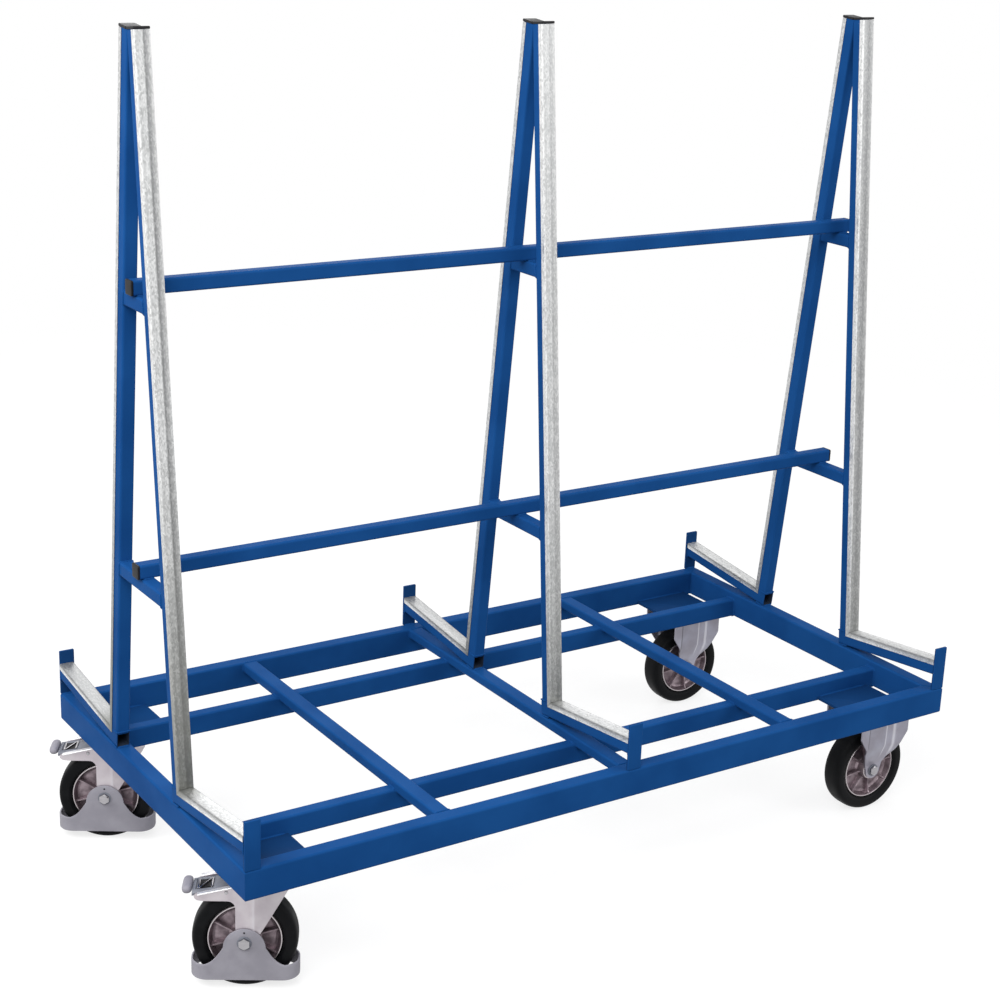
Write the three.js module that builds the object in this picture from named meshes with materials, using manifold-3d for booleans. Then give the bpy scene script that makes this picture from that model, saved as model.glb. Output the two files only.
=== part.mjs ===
// Two-sided sheet goods cart: a welded tube base on two fixed and two braked swivel castors,
// three A-frames with galvanised contact strips, and two bars that tie the A-frames together.
// Millimetres, +Z up. The origin is on the floor under the middle of the whole cart with its pedals.
// +X points to the fixed castors. The front side faces -Y and the rear side faces +Y.

import * as THREE from 'three';
import { mergeVertices } from 'three/addons/utils/BufferGeometryUtils.js';
import Module from 'manifold-3d';

const wasm = await Module();
wasm.setup();

// Fits and facets
const CLEARANCE = 0.3;
const OVERLAP = 1;
const MERGE_TOLERANCE = 1e-4;
const CORNER_STEPS = 1;
const WHEEL_STEPS = 24;
const ROUND_STEPS = 12;
const RING_STEPS = 14;
const HOLE_STEPS = 8;
const HEX_STEPS = 6;
const BELT_STEPS = 2;
const CURVE_STEPS = 5;
const CORNER_LIMIT = 0.49;

// Base
const ORIGIN_TO_BASE = 14;
const BASE_LENGTH = 1520;
const BASE_WIDTH = 790;
const RAIL_HEIGHT = 50;
const RAIL_WIDTH = 30;
const TUBE_WALL = 2;
const TUBE_CORNER = 4;
const INNER_RAIL_SIZE = 30;
const INNER_RAIL_SPACING = 436;
const CROSS_BAR_WIDTH = 30;
const CROSS_BAR_SPACING = 380;
const PAD_LENGTH = 124;
const PAD_THICKNESS = 6;
const SWIVEL_PAD_INSET = 96;
const FIXED_PAD_INSET = 110;

// A-frames
const LEG_WIDTH = 25;
const LEG_DEPTH = 30;
const FOOT_GAP = 242.6;
const APEX_RISE = 1236.7;
const LEG_ABOVE_APEX = 17;
const CENTRE_WALL = 2;
const ARM_DEPTH = 30;
const ARM_RISE = THREE.MathUtils.degToRad(6.3);
const STOP_WIDTH = 28;
const STOP_THICKNESS = 5;
const STOP_HEIGHT = 86;
const TIE_SIZE = 25;
const LOWER_TIE_RISE = 336.7;
const UPPER_TIE_RISE = 816.7;

// Contact strips
const STRIP_SHEET = 1;
const STRIP_FLANGE = 13;
const STRIP_BEND = 2.5;
const STRIP_CROWN = 0.6;
const STRIP_MITRE_GAP = 0.4;

// Caps and lengthwise bars
const CAP_RIM = 0.3;
const CAP_HEAD = 4.5;
const CAP_CORNER = 2;
const CAP_BEVEL = 1;
const PLUG_DEPTH = 16;
const BAR_SIZE = 25;
const BAR_OVERHANG = 3.4;
const BAR_CAP_HEAD = 4;

// Wheels
const WHEEL_RADIUS = 88;
const TYRE_WIDTH = 44;
const TREAD_WIDTH = 26;
const TYRE_SHOULDER = 6;
const TYRE_DRAFT = 1;
const RIM_RADIUS = 62;
const RIM_WIDTH = 36;
const RIM_RING = 5;
const RIM_WEB = 7;
const RIB_COUNT = 8;
const RIB_THICKNESS = 3;
const RIB_WIDTH = 26;
const HUB_RADIUS = 22;
const HUB_DRAFT = 2;
const AXLE_RADIUS = 6;
const AXLE_HEAD = 8;
const AXLE_HEAD_RADIUS = 11;

// Castor tops
const CHEEK_GAP = 50;
const CHEEK_THICKNESS = 3.5;
const PLATE_LENGTH = 122;
const PLATE_WIDTH = 104;
const PLATE_THICKNESS = 4;
const PLATE_CORNER = 10;
const BOLT_SPACING_X = 84;
const BOLT_SPACING_Y = 60;
const BOLT_RADIUS = 5;
const BOLT_END = 2;
const BOLT_HEAD_RADIUS = 9.5;
const BOLT_HEAD = 7;

// Fixed brackets: heights over the axle, half widths of the cheek and its pressed rib, and the splay
const FIXED_INSET = 100.5;
const BRACKET_RIB = 3;
const BRACKET_LEVELS = [
  { rise: -18, half: 8, splay: 0 },
  { rise: -8, half: 17, splay: 0 },
  { rise: 14, half: 20, rib: 8, splay: 0 },
  { rise: 60, half: 42, rib: 24, splay: 19 },
  { rise: 84, half: 60, rib: 32, splay: 20 },
];
const BRACKET_TOP = { half: 60, rib: 34, splay: 20 };

// Swivel castors
const SWIVEL_INSET = 94;
const SWIVEL_HEADING = THREE.MathUtils.degToRad(149.2);
const SWIVEL_TRAIL = 42;
const WHEEL_TO_KINGPIN = 8;
const KINGPIN_RADIUS = 7;
const KINGPIN_NUT_RADIUS = 12;
const KINGPIN_NUT_HEIGHT = 8;
const CROWN_RADIUS = 40;
const CROWN_THICKNESS = 8.5;
const CROWN_LIP = 3;
const RACE_RADIUS = 38;
const RACE_NECK_RADIUS = 31;
const RACE_HEIGHT = 16.6;
const CHEEK_FRONT = 35;
const CHEEK_BACK = 14.5;
const CHEEK_TOE = 16;
const CHEEK_NECK = 32;
const CHEEK_NECK_RISE = 24;
const FORK_ARM_SETBACK = 4;
const FORK_ARM_DROP = 15.5;
const FORK_ARM_TIP = 14;
const FORK_ARM_FILLET = 13;

// Brake pedal
const PEDAL_PIVOT_X = 71;
const PEDAL_PIVOT_RISE = 2.5;
const PEDAL_PIN_RADIUS = 4;
const PEDAL_PIN_HEAD = 2;
const PEDAL_START = 54;
const PEDAL_END = 127.5;
const PEDAL_SLOPE = THREE.MathUtils.degToRad(8.5);
const PEDAL_SHEET = 3;
const PEDAL_LIFT = 5;
const PEDAL_LUG = 15;
const PEDAL_WINDOW_X = 94;
const PEDAL_WINDOW_LENGTH = 26;
const PEDAL_WINDOW_WIDTH = 24;
const GRIP_LENGTH = 14;
const GRIP_WIDTH = 46;
const GRIP_THICKNESS = 10;

// Foot guards
const GUARD_WALL = 3;
const GUARD_REACH = 2;
const GUARD_CORNER = 28;
const GUARD_BOTTOM = 18;
const GUARD_BELT = 28;
const GUARD_DOME_RADIUS = 35;
const GUARD_DOME_DROP = 10;
const GUARD_FLANK = 70;
const GUARD_FLARE = 0.2;
const GUARD_SWEEP = 0.5;

// Heights and places that follow from the sizes above
const wheelTop = 2 * WHEEL_RADIUS;
const kingpinNutTop = wheelTop + WHEEL_TO_KINGPIN + KINGPIN_NUT_HEIGHT;
const crownBottom = kingpinNutTop + CLEARANCE;
const crownTop = crownBottom + CROWN_THICKNESS;
const raceBottom = crownTop + CLEARANCE;
const plateBottom = raceBottom + RACE_HEIGHT;
const plateTop = plateBottom + PLATE_THICKNESS;
const baseBottom = plateTop + CLEARANCE;
const baseTop = baseBottom + RAIL_HEIGHT;
const padTop = baseBottom + PAD_THICKNESS;
const footZ = baseTop + CLEARANCE;
const innerRailFace = INNER_RAIL_SPACING / 2 + INNER_RAIL_SIZE / 2;
const outerRailFace = BASE_WIDTH / 2 - RAIL_WIDTH;
const castorY = (innerRailFace + outerRailFace) / 2;
const swivelX = SWIVEL_INSET - BASE_LENGTH / 2;
const swivelPadX = SWIVEL_PAD_INSET - BASE_LENGTH / 2;
const fixedX = BASE_LENGTH / 2 - FIXED_INSET;
const fixedPadX = BASE_LENGTH / 2 - FIXED_PAD_INSET;
const pivotZ = wheelTop + PEDAL_PIVOT_RISE;
const forkArmReach = PEDAL_END - FORK_ARM_SETBACK;
const legLean = Math.atan(FOOT_GAP / 2 / APEX_RISE);
const apex = new THREE.Vector3(0, 0, footZ + APEX_RISE);
const foot = new THREE.Vector3(0, -FOOT_GAP / 2, footZ);
const stripFace = CLEARANCE + STRIP_SHEET;
const endFrameX = BASE_LENGTH / 2 - LEG_WIDTH / 2;
const endStopShift = STOP_WIDTH / 2 - LEG_WIDTH / 2;
const cheekOuter = CHEEK_GAP / 2 + CHEEK_THICKNESS;
const guardOuter = cheekOuter + CLEARANCE + GUARD_WALL;
const guardLength = 2 * (WHEEL_RADIUS + GUARD_REACH);
const REACH = 2 * (BASE_LENGTH + BASE_WIDTH + APEX_RISE);

const SIDES = [
  { name: 'front', sign: -1, turn: 0 },
  { name: 'rear', sign: 1, turn: Math.PI },
];
const FRAMES = [
  { name: 'left', x: -endFrameX, stopShift: endStopShift },
  { name: 'centre', x: 0, stopShift: 0 },
  { name: 'right', x: endFrameX, stopShift: -endStopShift },
];

const FINISHES = {
  paint: { color: 0x1a4e8a, roughness: 0.35, metalness: 0 },
  galvanised: { color: 0xb4b7ba, roughness: 0.4, metalness: 0.9 },
  zinc: { color: 0xc4bfc0, roughness: 0.35, metalness: 0.9 },
  aluminium: { color: 0xb9bcc0, roughness: 0.4, metalness: 0.9 },
  black_plastic: { color: 0x17181a, roughness: 0.5, metalness: 0 },
  grey_plastic: { color: 0x8c8b90, roughness: 0.6, metalness: 0 },
  rubber: { color: 0x1b1c1e, roughness: 0.85, metalness: 0 },
};

// Closed geometry to a solid that can be joined and cut, and back
function solid(geometry) {
  const bare = new THREE.BufferGeometry();
  bare.setAttribute('position', geometry.getAttribute('position'));
  bare.setIndex(geometry.getIndex());
  const merged = mergeVertices(bare, MERGE_TOLERANCE);
  const corners = merged.getIndex().array;
  const triangles = [];
  for (let i = 0; i < corners.length; i += 3) {
    const [a, b, c] = corners.slice(i, i + 3);
    if (a !== b && b !== c && c !== a) triangles.push(a, b, c);
  }
  return new wasm.Manifold(new wasm.Mesh({
    numProp: 3,
    vertProperties: merged.getAttribute('position').array,
    triVerts: Uint32Array.from(triangles),
  }));
}

function geometryOf(shape) {
  const mesh = shape.getMesh();
  const geometry = new THREE.BufferGeometry();
  geometry.setAttribute('position', new THREE.BufferAttribute(mesh.vertProperties, 3));
  geometry.setIndex(new THREE.BufferAttribute(mesh.triVerts, 1));
  geometry.computeVertexNormals();
  return geometry;
}

function join(...shapes) {
  return shapes.reduce((sum, shape) => sum.add(shape));
}

function cut(shape, ...tools) {
  return tools.reduce((rest, tool) => rest.subtract(tool), shape);
}

// A block that fills the side of a plane its normal points to
function beyond(point, normal) {
  const direction = normal.clone().normalize();
  const block = new THREE.BoxGeometry(REACH, REACH, REACH);
  block.translate(0, 0, REACH / 2);
  const turn = new THREE.Quaternion().setFromUnitVectors(new THREE.Vector3(0, 0, 1), direction);
  block.applyQuaternion(turn);
  block.translate(point.x, point.y, point.z);
  return solid(block);
}

// Sections and plain forms
function roundedRect(width, height, corner) {
  const radius = Math.min(corner, CORNER_LIMIT * Math.min(width, height));
  const x = width / 2 - radius;
  const y = height / 2 - radius;
  const shape = new THREE.Shape();
  shape.absarc(x, -y, radius, -Math.PI / 2, 0);
  shape.absarc(x, y, radius, 0, Math.PI / 2);
  shape.absarc(-x, y, radius, Math.PI / 2, Math.PI);
  shape.absarc(-x, -y, radius, Math.PI, 1.5 * Math.PI);
  shape.closePath();
  return shape;
}

function rectangle(width, height) {
  const shape = new THREE.Shape();
  shape.moveTo(-width / 2, -height / 2);
  shape.lineTo(width / 2, -height / 2);
  shape.lineTo(width / 2, height / 2);
  shape.lineTo(-width / 2, height / 2);
  shape.closePath();
  return shape;
}

function boreSection(width, height) {
  return rectangle(width - 2 * TUBE_WALL, height - 2 * TUBE_WALL);
}

function tubeSection(width, height) {
  const shape = roundedRect(width, height, TUBE_CORNER);
  shape.holes.push(boreSection(width, height));
  return shape;
}

function prism(shape, length, steps = CORNER_STEPS) {
  const settings = { depth: length, bevelEnabled: false, curveSegments: steps };
  return new THREE.ExtrudeGeometry(shape, settings);
}

// A prism along Z laid along X, with the section's width upright
function alongX(geometry) {
  return geometry.rotateY(Math.PI / 2);
}

// A prism along Z laid along Y, with the section's height upright
function alongY(geometry) {
  return geometry.rotateX(-Math.PI / 2);
}

function rod(radius, length, steps = ROUND_STEPS) {
  return new THREE.CylinderGeometry(radius, radius, length, steps);
}

function uprightRod(radius, bottom, top, steps = ROUND_STEPS) {
  return rod(radius, top - bottom, steps).rotateX(Math.PI / 2).translate(0, 0, (bottom + top) / 2);
}

function lathe(points, steps) {
  const profile = points.map(([radius, height]) => new THREE.Vector2(radius, height));
  return new THREE.LatheGeometry(profile, steps, Math.PI / steps);
}

// A body through rings of points, each ring anticlockwise seen from above and the lowest first
function loft(rings) {
  const count = rings[0].length;
  const positions = rings.flat(2);
  const index = [];
  for (let level = 0; level + 1 < rings.length; level += 1) {
    for (let i = 0; i < count; i += 1) {
      const a = level * count + i;
      const b = level * count + (i + 1) % count;
      index.push(a, b, b + count, a, b + count, a + count);
    }
  }
  const last = (rings.length - 1) * count;
  for (let i = 1; i + 1 < count; i += 1) {
    index.push(0, i + 1, i);
    index.push(last, last + i, last + i + 1);
  }
  const geometry = new THREE.BufferGeometry();
  geometry.setAttribute('position', new THREE.Float32BufferAttribute(positions, 3));
  geometry.setIndex(index);
  return geometry;
}

function part(parent, name, shape, finish) {
  const material = new THREE.MeshStandardMaterial(FINISHES[finish]);
  const mesh = new THREE.Mesh(geometryOf(shape), material);
  mesh.name = name;
  parent.add(mesh);
  return mesh;
}

// Base: four mitred rails, two inner rails with castor pads, three cross bars
function mitreCut(signX, signY, towardsEnd) {
  const normal = new THREE.Vector3(signX, -signY, 0).normalize().multiplyScalar(towardsEnd ? 1 : -1);
  const corner = new THREE.Vector3(signX * BASE_LENGTH / 2, signY * BASE_WIDTH / 2, 0);
  corner.addScaledVector(normal, -CLEARANCE / 2);
  return beyond(corner, normal);
}

function longRail(signY) {
  const tube = alongX(prism(tubeSection(RAIL_HEIGHT, RAIL_WIDTH), BASE_LENGTH));
  const y = signY * (BASE_WIDTH / 2 - RAIL_WIDTH / 2);
  tube.translate(-BASE_LENGTH / 2, y, baseTop - RAIL_HEIGHT / 2);
  return cut(solid(tube), mitreCut(-1, signY, true), mitreCut(1, signY, true));
}

function endRail(signX) {
  const tube = alongY(prism(tubeSection(RAIL_WIDTH, RAIL_HEIGHT), BASE_WIDTH));
  const x = signX * (BASE_LENGTH / 2 - RAIL_WIDTH / 2);
  tube.translate(x, -BASE_WIDTH / 2, baseTop - RAIL_HEIGHT / 2);
  return cut(solid(tube), mitreCut(signX, -1, false), mitreCut(signX, 1, false));
}

function boltPlaces(x, y) {
  const places = [];
  for (const signX of [-1, 1]) {
    for (const signY of [-1, 1]) {
      places.push([x + signX * BOLT_SPACING_X / 2, y + signY * BOLT_SPACING_Y / 2]);
    }
  }
  return places;
}

function castorPad(padX, boltX, signY) {
  const inner = innerRailFace - TUBE_WALL / 2;
  const outer = outerRailFace - CLEARANCE;
  const plate = new THREE.BoxGeometry(PAD_LENGTH, outer - inner, PAD_THICKNESS);
  plate.translate(padX, signY * (inner + outer) / 2, padTop - PAD_THICKNESS / 2);
  const holes = boltPlaces(boltX, signY * castorY).map(([x, y]) => {
    const radius = BOLT_RADIUS + 2 * CLEARANCE;
    const drill = uprightRod(radius, baseBottom - OVERLAP, padTop + OVERLAP, HOLE_STEPS);
    return solid(drill.translate(x, y, 0));
  });
  return cut(solid(plate), ...holes);
}

function innerRail(signY) {
  const length = BASE_LENGTH - 2 * RAIL_WIDTH - 2 * CLEARANCE;
  const tube = alongX(prism(tubeSection(INNER_RAIL_SIZE, INNER_RAIL_SIZE), length));
  tube.translate(-length / 2, signY * INNER_RAIL_SPACING / 2, baseBottom + INNER_RAIL_SIZE / 2);
  const swivelPad = castorPad(swivelPadX, swivelX, signY);
  const fixedPad = castorPad(fixedPadX, fixedX, signY);
  return join(solid(tube), swivelPad, fixedPad);
}

function crossBar(x) {
  const height = RAIL_HEIGHT - INNER_RAIL_SIZE - CLEARANCE;
  const length = BASE_WIDTH - 2 * RAIL_WIDTH - 2 * CLEARANCE;
  const tube = alongY(prism(tubeSection(CROSS_BAR_WIDTH, height), length));
  tube.translate(x, -length / 2, baseTop - height / 2);
  return solid(tube);
}

function addBase(parent) {
  for (const side of SIDES) {
    part(parent, `${side.name}_rail`, longRail(side.sign), 'paint');
    part(parent, `${side.name}_inner_rail`, innerRail(side.sign), 'paint');
  }
  part(parent, 'left_end_rail', endRail(-1), 'paint');
  part(parent, 'right_end_rail', endRail(1), 'paint');
  part(parent, 'left_cross_bar', crossBar(-CROSS_BAR_SPACING), 'paint');
  part(parent, 'centre_cross_bar', crossBar(0), 'paint');
  part(parent, 'right_cross_bar', crossBar(CROSS_BAR_SPACING), 'paint');
}

// A-frame members, drawn for the front side in the frame's own Y and Z.
// A leg is placed from the apex, where the inner faces of both legs meet.
const footSlant = Math.hypot(FOOT_GAP / 2, APEX_RISE);
const legTop = LEG_ABOVE_APEX;
const legBottom = -footSlant + ARM_DEPTH / 2;
const armLength = BASE_WIDTH;

function onLeg(geometry) {
  return geometry.rotateX(-legLean).translate(apex.x, apex.y, apex.z);
}

// An arm is placed from the inner lower edge of the leg, and its prism runs outward
function onArm(geometry) {
  return geometry.rotateX(Math.PI / 2).rotateX(-ARM_RISE).translate(foot.x, foot.y, foot.z);
}

function behindY(y) {
  return beyond(new THREE.Vector3(0, y, 0), new THREE.Vector3(0, 1, 0));
}

function beforeY(y) {
  return beyond(new THREE.Vector3(0, y, 0), new THREE.Vector3(0, -1, 0));
}

function turned(geometry, turn) {
  return geometry.rotateZ(turn);
}

// Bores run past the open ends of their tubes by an extra length
function legSolid(section, turn, extra = 0) {
  const leg = prism(section, legTop - legBottom + extra).translate(0, -LEG_DEPTH / 2, legBottom);
  return solid(turned(onLeg(leg), turn));
}

function armSolid(section, turn, extra = 0) {
  const arm = onArm(prism(section, armLength + extra).translate(0, ARM_DEPTH / 2, -extra));
  return solid(turned(arm, turn));
}

function tieSolid(section, rise, extra = 0) {
  const z = baseTop + rise + TIE_SIZE / 2;
  const half = (apex.z - z) * Math.tan(legLean) + LEG_DEPTH / 2 + extra;
  return solid(alongY(prism(section, 2 * half)).translate(0, -half, z));
}

function stopSolid(side, shift) {
  const plate = new THREE.BoxGeometry(STOP_WIDTH, STOP_THICKNESS, STOP_HEIGHT);
  const y = side.sign * (BASE_WIDTH / 2 - STOP_THICKNESS / 2);
  return solid(plate.translate(shift, y, footZ + STOP_HEIGHT / 2));
}

function weldment(stopShift) {
  const legSection = roundedRect(LEG_WIDTH, LEG_DEPTH, TUBE_CORNER);
  const legBore = boreSection(LEG_WIDTH, LEG_DEPTH);
  const armSection = roundedRect(LEG_WIDTH, ARM_DEPTH, TUBE_CORNER);
  const armBore = boreSection(LEG_WIDTH, ARM_DEPTH);
  const tieSection = roundedRect(TIE_SIZE, TIE_SIZE, TUBE_CORNER);
  const tieBore = boreSection(TIE_SIZE, TIE_SIZE);
  const plateMiddle = BASE_WIDTH / 2 - STOP_THICKNESS / 2;
  const plateInside = BASE_WIDTH / 2 - STOP_THICKNESS;
  const tieRises = [LOWER_TIE_RISE, UPPER_TIE_RISE];

  const legs = join(...SIDES.map((side) => legSolid(legSection, side.turn)));
  const ties = tieRises.map((rise) => tieSolid(tieSection, rise));
  const longArms = join(...SIDES.map((side) => armSolid(armSection, side.turn)));
  const arms = cut(longArms, beforeY(-plateMiddle), behindY(plateMiddle));
  const stops = SIDES.map((side) => stopSolid(side, stopShift));
  const outside = join(legs, ...ties, arms, ...stops);

  const frontBore = cut(legSolid(legBore, SIDES[0].turn, OVERLAP), behindY(-CENTRE_WALL / 2));
  const rearBore = cut(legSolid(legBore, SIDES[1].turn, OVERLAP), beforeY(CENTRE_WALL / 2));
  const tieBores = tieRises.map((rise) => tieSolid(tieBore, rise, OVERLAP));
  const legBores = cut(join(frontBore, rearBore, ...tieBores), arms);
  const longArmBores = join(...SIDES.map((side) => armSolid(armBore, side.turn, OVERLAP)));
  const armBores = cut(longArmBores, beforeY(-plateInside), behindY(plateInside));
  return cut(outside, legBores, armBores);
}

// Contact strip: a folded U that clips over a tube's outer face, with a slight crown.
// The section's origin is the middle of the tube's face, and its height points away from the tube.
function stripSection() {
  const inner = LEG_WIDTH / 2 + CLEARANCE;
  const outer = inner + STRIP_SHEET;
  const tip = stripFace - STRIP_FLANGE;
  const fold = STRIP_BEND - STRIP_SHEET;
  const shape = new THREE.Shape();
  shape.moveTo(outer, tip);
  shape.absarc(outer - STRIP_BEND, stripFace - STRIP_BEND, STRIP_BEND, 0, Math.PI / 2);
  shape.lineTo(0, stripFace + STRIP_CROWN);
  shape.absarc(STRIP_BEND - outer, stripFace - STRIP_BEND, STRIP_BEND, Math.PI / 2, Math.PI);
  shape.lineTo(-outer, tip);
  shape.lineTo(-inner, tip);
  shape.absarc(fold - inner, CLEARANCE - fold, fold, Math.PI, Math.PI / 2, true);
  shape.lineTo(0, CLEARANCE + STRIP_CROWN);
  shape.absarc(inner - fold, CLEARANCE - fold, fold, Math.PI / 2, 0, true);
  shape.lineTo(inner, tip);
  shape.closePath();
  return shape;
}

// Where a line along the leg and a line along the arm meet, both at one height over their tubes
function stripMeeting(height) {
  const up = new THREE.Vector3(0, Math.sin(legLean), Math.cos(legLean));
  const out = new THREE.Vector3(0, -Math.cos(legLean), Math.sin(legLean));
  const along = new THREE.Vector3(0, -Math.cos(ARM_RISE), Math.sin(ARM_RISE));
  const above = new THREE.Vector3(0, Math.sin(ARM_RISE), Math.cos(ARM_RISE));
  const onLegLine = apex.clone().addScaledVector(out, LEG_DEPTH + height);
  const onArmLine = foot.clone().addScaledVector(above, ARM_DEPTH + height);
  const gap = onArmLine.clone().sub(onLegLine);
  const distance = gap.dot(above) / up.dot(above);
  return onLegLine.addScaledVector(up, distance);
}

function stripMitre(towardsArm) {
  const outer = stripMeeting(stripFace);
  const inner = stripMeeting(stripFace - STRIP_FLANGE);
  const edge = outer.clone().sub(inner).normalize();
  const armSide = new THREE.Vector3(0, -edge.z, edge.y);
  const normal = armSide.multiplyScalar(towardsArm ? 1 : -1);
  return beyond(inner.addScaledVector(normal, -STRIP_MITRE_GAP / 2), normal);
}

function legStrip() {
  const strip = prism(stripSection(), footSlant + legTop - CLEARANCE);
  strip.rotateZ(Math.PI).translate(0, -LEG_DEPTH, -footSlant);
  return cut(solid(onLeg(strip)), stripMitre(true));
}

function armStrip() {
  const strip = onArm(prism(stripSection(), armLength).translate(0, ARM_DEPTH, 0));
  const stop = BASE_WIDTH / 2 - STOP_THICKNESS - CLEARANCE;
  return cut(solid(strip), stripMitre(false), beforeY(-stop));
}

// Plastic caps: a head with clipped corners and a bevelled top, and a plug inside the tube
function capRing(width, depth, z) {
  const x = width / 2;
  const y = depth / 2;
  const clip = CAP_CORNER;
  return [
    [x - clip, -y, z], [x, clip - y, z], [x, y - clip, z], [x - clip, y, z],
    [clip - x, y, z], [-x, y - clip, z], [-x, clip - y, z], [clip - x, -y, z],
  ];
}

function capHead(width, depth, height) {
  const inset = 2 * CAP_BEVEL;
  return loft([
    capRing(width, depth, 0),
    capRing(width, depth, height - CAP_BEVEL),
    capRing(width - inset, depth - inset, height),
  ]);
}

function capPlug(width, depth) {
  const play = 2 * (TUBE_WALL + CLEARANCE);
  const section = rectangle(width - play, depth - play);
  return prism(section, PLUG_DEPTH + OVERLAP).translate(0, 0, -PLUG_DEPTH);
}

function legCap() {
  const width = LEG_WIDTH + 2 * (stripFace + CAP_RIM);
  const depth = LEG_DEPTH + stripFace + STRIP_CROWN + CAP_RIM;
  const seat = legTop + CLEARANCE;
  const head = solid(onLeg(capHead(width, depth, CAP_HEAD).translate(0, -depth / 2, seat)));
  const plug = solid(onLeg(capPlug(LEG_WIDTH, LEG_DEPTH).translate(0, -LEG_DEPTH / 2, seat)));
  const halfHead = cut(head, behindY(-CLEARANCE / 2));
  const halfPlug = cut(plug, behindY(-CENTRE_WALL / 2 - CLEARANCE));
  return join(halfHead, halfPlug);
}

function barCap() {
  const head = capHead(BAR_SIZE, BAR_SIZE, BAR_CAP_HEAD).translate(0, 0, CLEARANCE);
  const plug = capPlug(BAR_SIZE, BAR_SIZE).translate(0, 0, CLEARANCE);
  return join(solid(head), solid(plug));
}

function addFrames(parent) {
  for (const frame of FRAMES) {
    const place = new THREE.Group();
    place.position.x = frame.x;
    parent.add(place);
    part(place, `${frame.name}_a_frame`, weldment(frame.stopShift), 'paint');
    for (const side of SIDES) {
      const half = new THREE.Group();
      half.rotation.z = side.turn;
      place.add(half);
      const name = `${frame.name}_${side.name}`;
      part(half, `${name}_leg_strip`, legStrip(), 'galvanised');
      part(half, `${name}_arm_strip`, armStrip(), 'galvanised');
      part(half, `${name}_leg_cap`, legCap(), 'black_plastic');
    }
  }
}

// Two bars lie on the ties and reach a little past the end frames
function addBars(parent) {
  const length = BASE_LENGTH + 2 * BAR_OVERHANG;
  const levels = { lower: LOWER_TIE_RISE, upper: UPPER_TIE_RISE };
  for (const [name, rise] of Object.entries(levels)) {
    const place = new THREE.Group();
    place.position.z = baseTop + rise + TIE_SIZE + CLEARANCE + BAR_SIZE / 2;
    parent.add(place);
    const tube = alongX(prism(tubeSection(BAR_SIZE, BAR_SIZE), length)).translate(-length / 2, 0, 0);
    part(place, `${name}_bar`, solid(tube), 'paint');
    const ends = { left: -1, right: 1 };
    for (const [end, sign] of Object.entries(ends)) {
      const cap = part(place, `${name}_bar_${end}_cap`, barCap(), 'black_plastic');
      cap.position.x = sign * length / 2;
      cap.rotation.y = sign * Math.PI / 2;
    }
  }
}

// Wheels, drawn about their own axle along Y
function rim() {
  const hub = CHEEK_GAP / 2 - CLEARANCE;
  const ring = RIM_RADIUS - RIM_RING;
  const bore = AXLE_RADIUS + CLEARANCE;
  const half = [
    [bore, hub], [HUB_RADIUS - HUB_DRAFT, hub], [HUB_RADIUS, RIM_WEB / 2],
    [ring, RIM_WEB / 2], [ring, RIM_WIDTH / 2], [RIM_RADIUS, RIM_WIDTH / 2],
  ];
  const lower = half.map(([radius, y]) => [radius, -y]);
  const body = solid(lathe([...lower, ...half.reverse(), lower[0]], WHEEL_STEPS));
  const ribLength = ring - HUB_RADIUS + 2 * OVERLAP;
  const ribs = [];
  for (let i = 0; i < RIB_COUNT; i += 1) {
    const rib = new THREE.BoxGeometry(ribLength, RIB_WIDTH, RIB_THICKNESS);
    rib.translate(HUB_RADIUS - OVERLAP + ribLength / 2, 0, 0);
    ribs.push(solid(rib.rotateY(2 * Math.PI * i / RIB_COUNT)));
  }
  return join(body, ...ribs);
}

function tyre() {
  const toFlat = 1 / Math.cos(Math.PI / WHEEL_STEPS);
  const outer = WHEEL_RADIUS * toFlat;
  const seat = RIM_RADIUS + CLEARANCE;
  const wall = TYRE_WIDTH / 2;
  const half = [
    [seat, RIM_WIDTH / 2], [(seat + outer) / 2, wall],
    [outer - TYRE_SHOULDER, wall - TYRE_DRAFT], [outer, TREAD_WIDTH / 2],
  ];
  const lower = half.map(([radius, y]) => [radius, -y]);
  return solid(lathe([...lower, ...half.reverse(), lower[0]], WHEEL_STEPS));
}

function axle(seat) {
  const reach = seat + CLEARANCE + AXLE_HEAD;
  const heads = [-1, 1].map((sign) => {
    const head = rod(AXLE_HEAD_RADIUS, AXLE_HEAD, HEX_STEPS);
    return solid(head.translate(0, sign * (reach - AXLE_HEAD / 2), 0));
  });
  return join(solid(rod(AXLE_RADIUS, 2 * reach)), ...heads);
}

function addWheel(parent, name, x, axleSeat) {
  const place = new THREE.Group();
  place.position.set(x, 0, WHEEL_RADIUS);
  parent.add(place);
  part(place, `${name}_rim`, rim(), 'aluminium');
  part(place, `${name}_tyre`, tyre(), 'rubber');
  part(place, `${name}_axle`, axle(axleSeat), 'zinc');
}

// Castor tops: a plate under the pad, with bolts from below that end just above the pad
function topPlate() {
  const section = roundedRect(PLATE_LENGTH, PLATE_WIDTH, PLATE_CORNER);
  const plate = prism(section, PLATE_THICKNESS).translate(0, 0, plateBottom);
  const headTop = plateBottom + OVERLAP;
  const bolts = boltPlaces(0, 0).map(([x, y]) => {
    const shank = uprightRod(BOLT_RADIUS, plateTop - OVERLAP, padTop + BOLT_END, HEX_STEPS);
    const head = uprightRod(BOLT_HEAD_RADIUS, headTop - BOLT_HEAD, headTop, HEX_STEPS);
    return join(solid(shank.translate(x, y, 0)), solid(head.translate(x, y, 0)));
  });
  return join(solid(plate), ...bolts);
}

function axleDrill(x) {
  const drill = rod(AXLE_RADIUS + CLEARANCE, REACH);
  return solid(drill.translate(x, 0, WHEEL_RADIUS));
}

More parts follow.
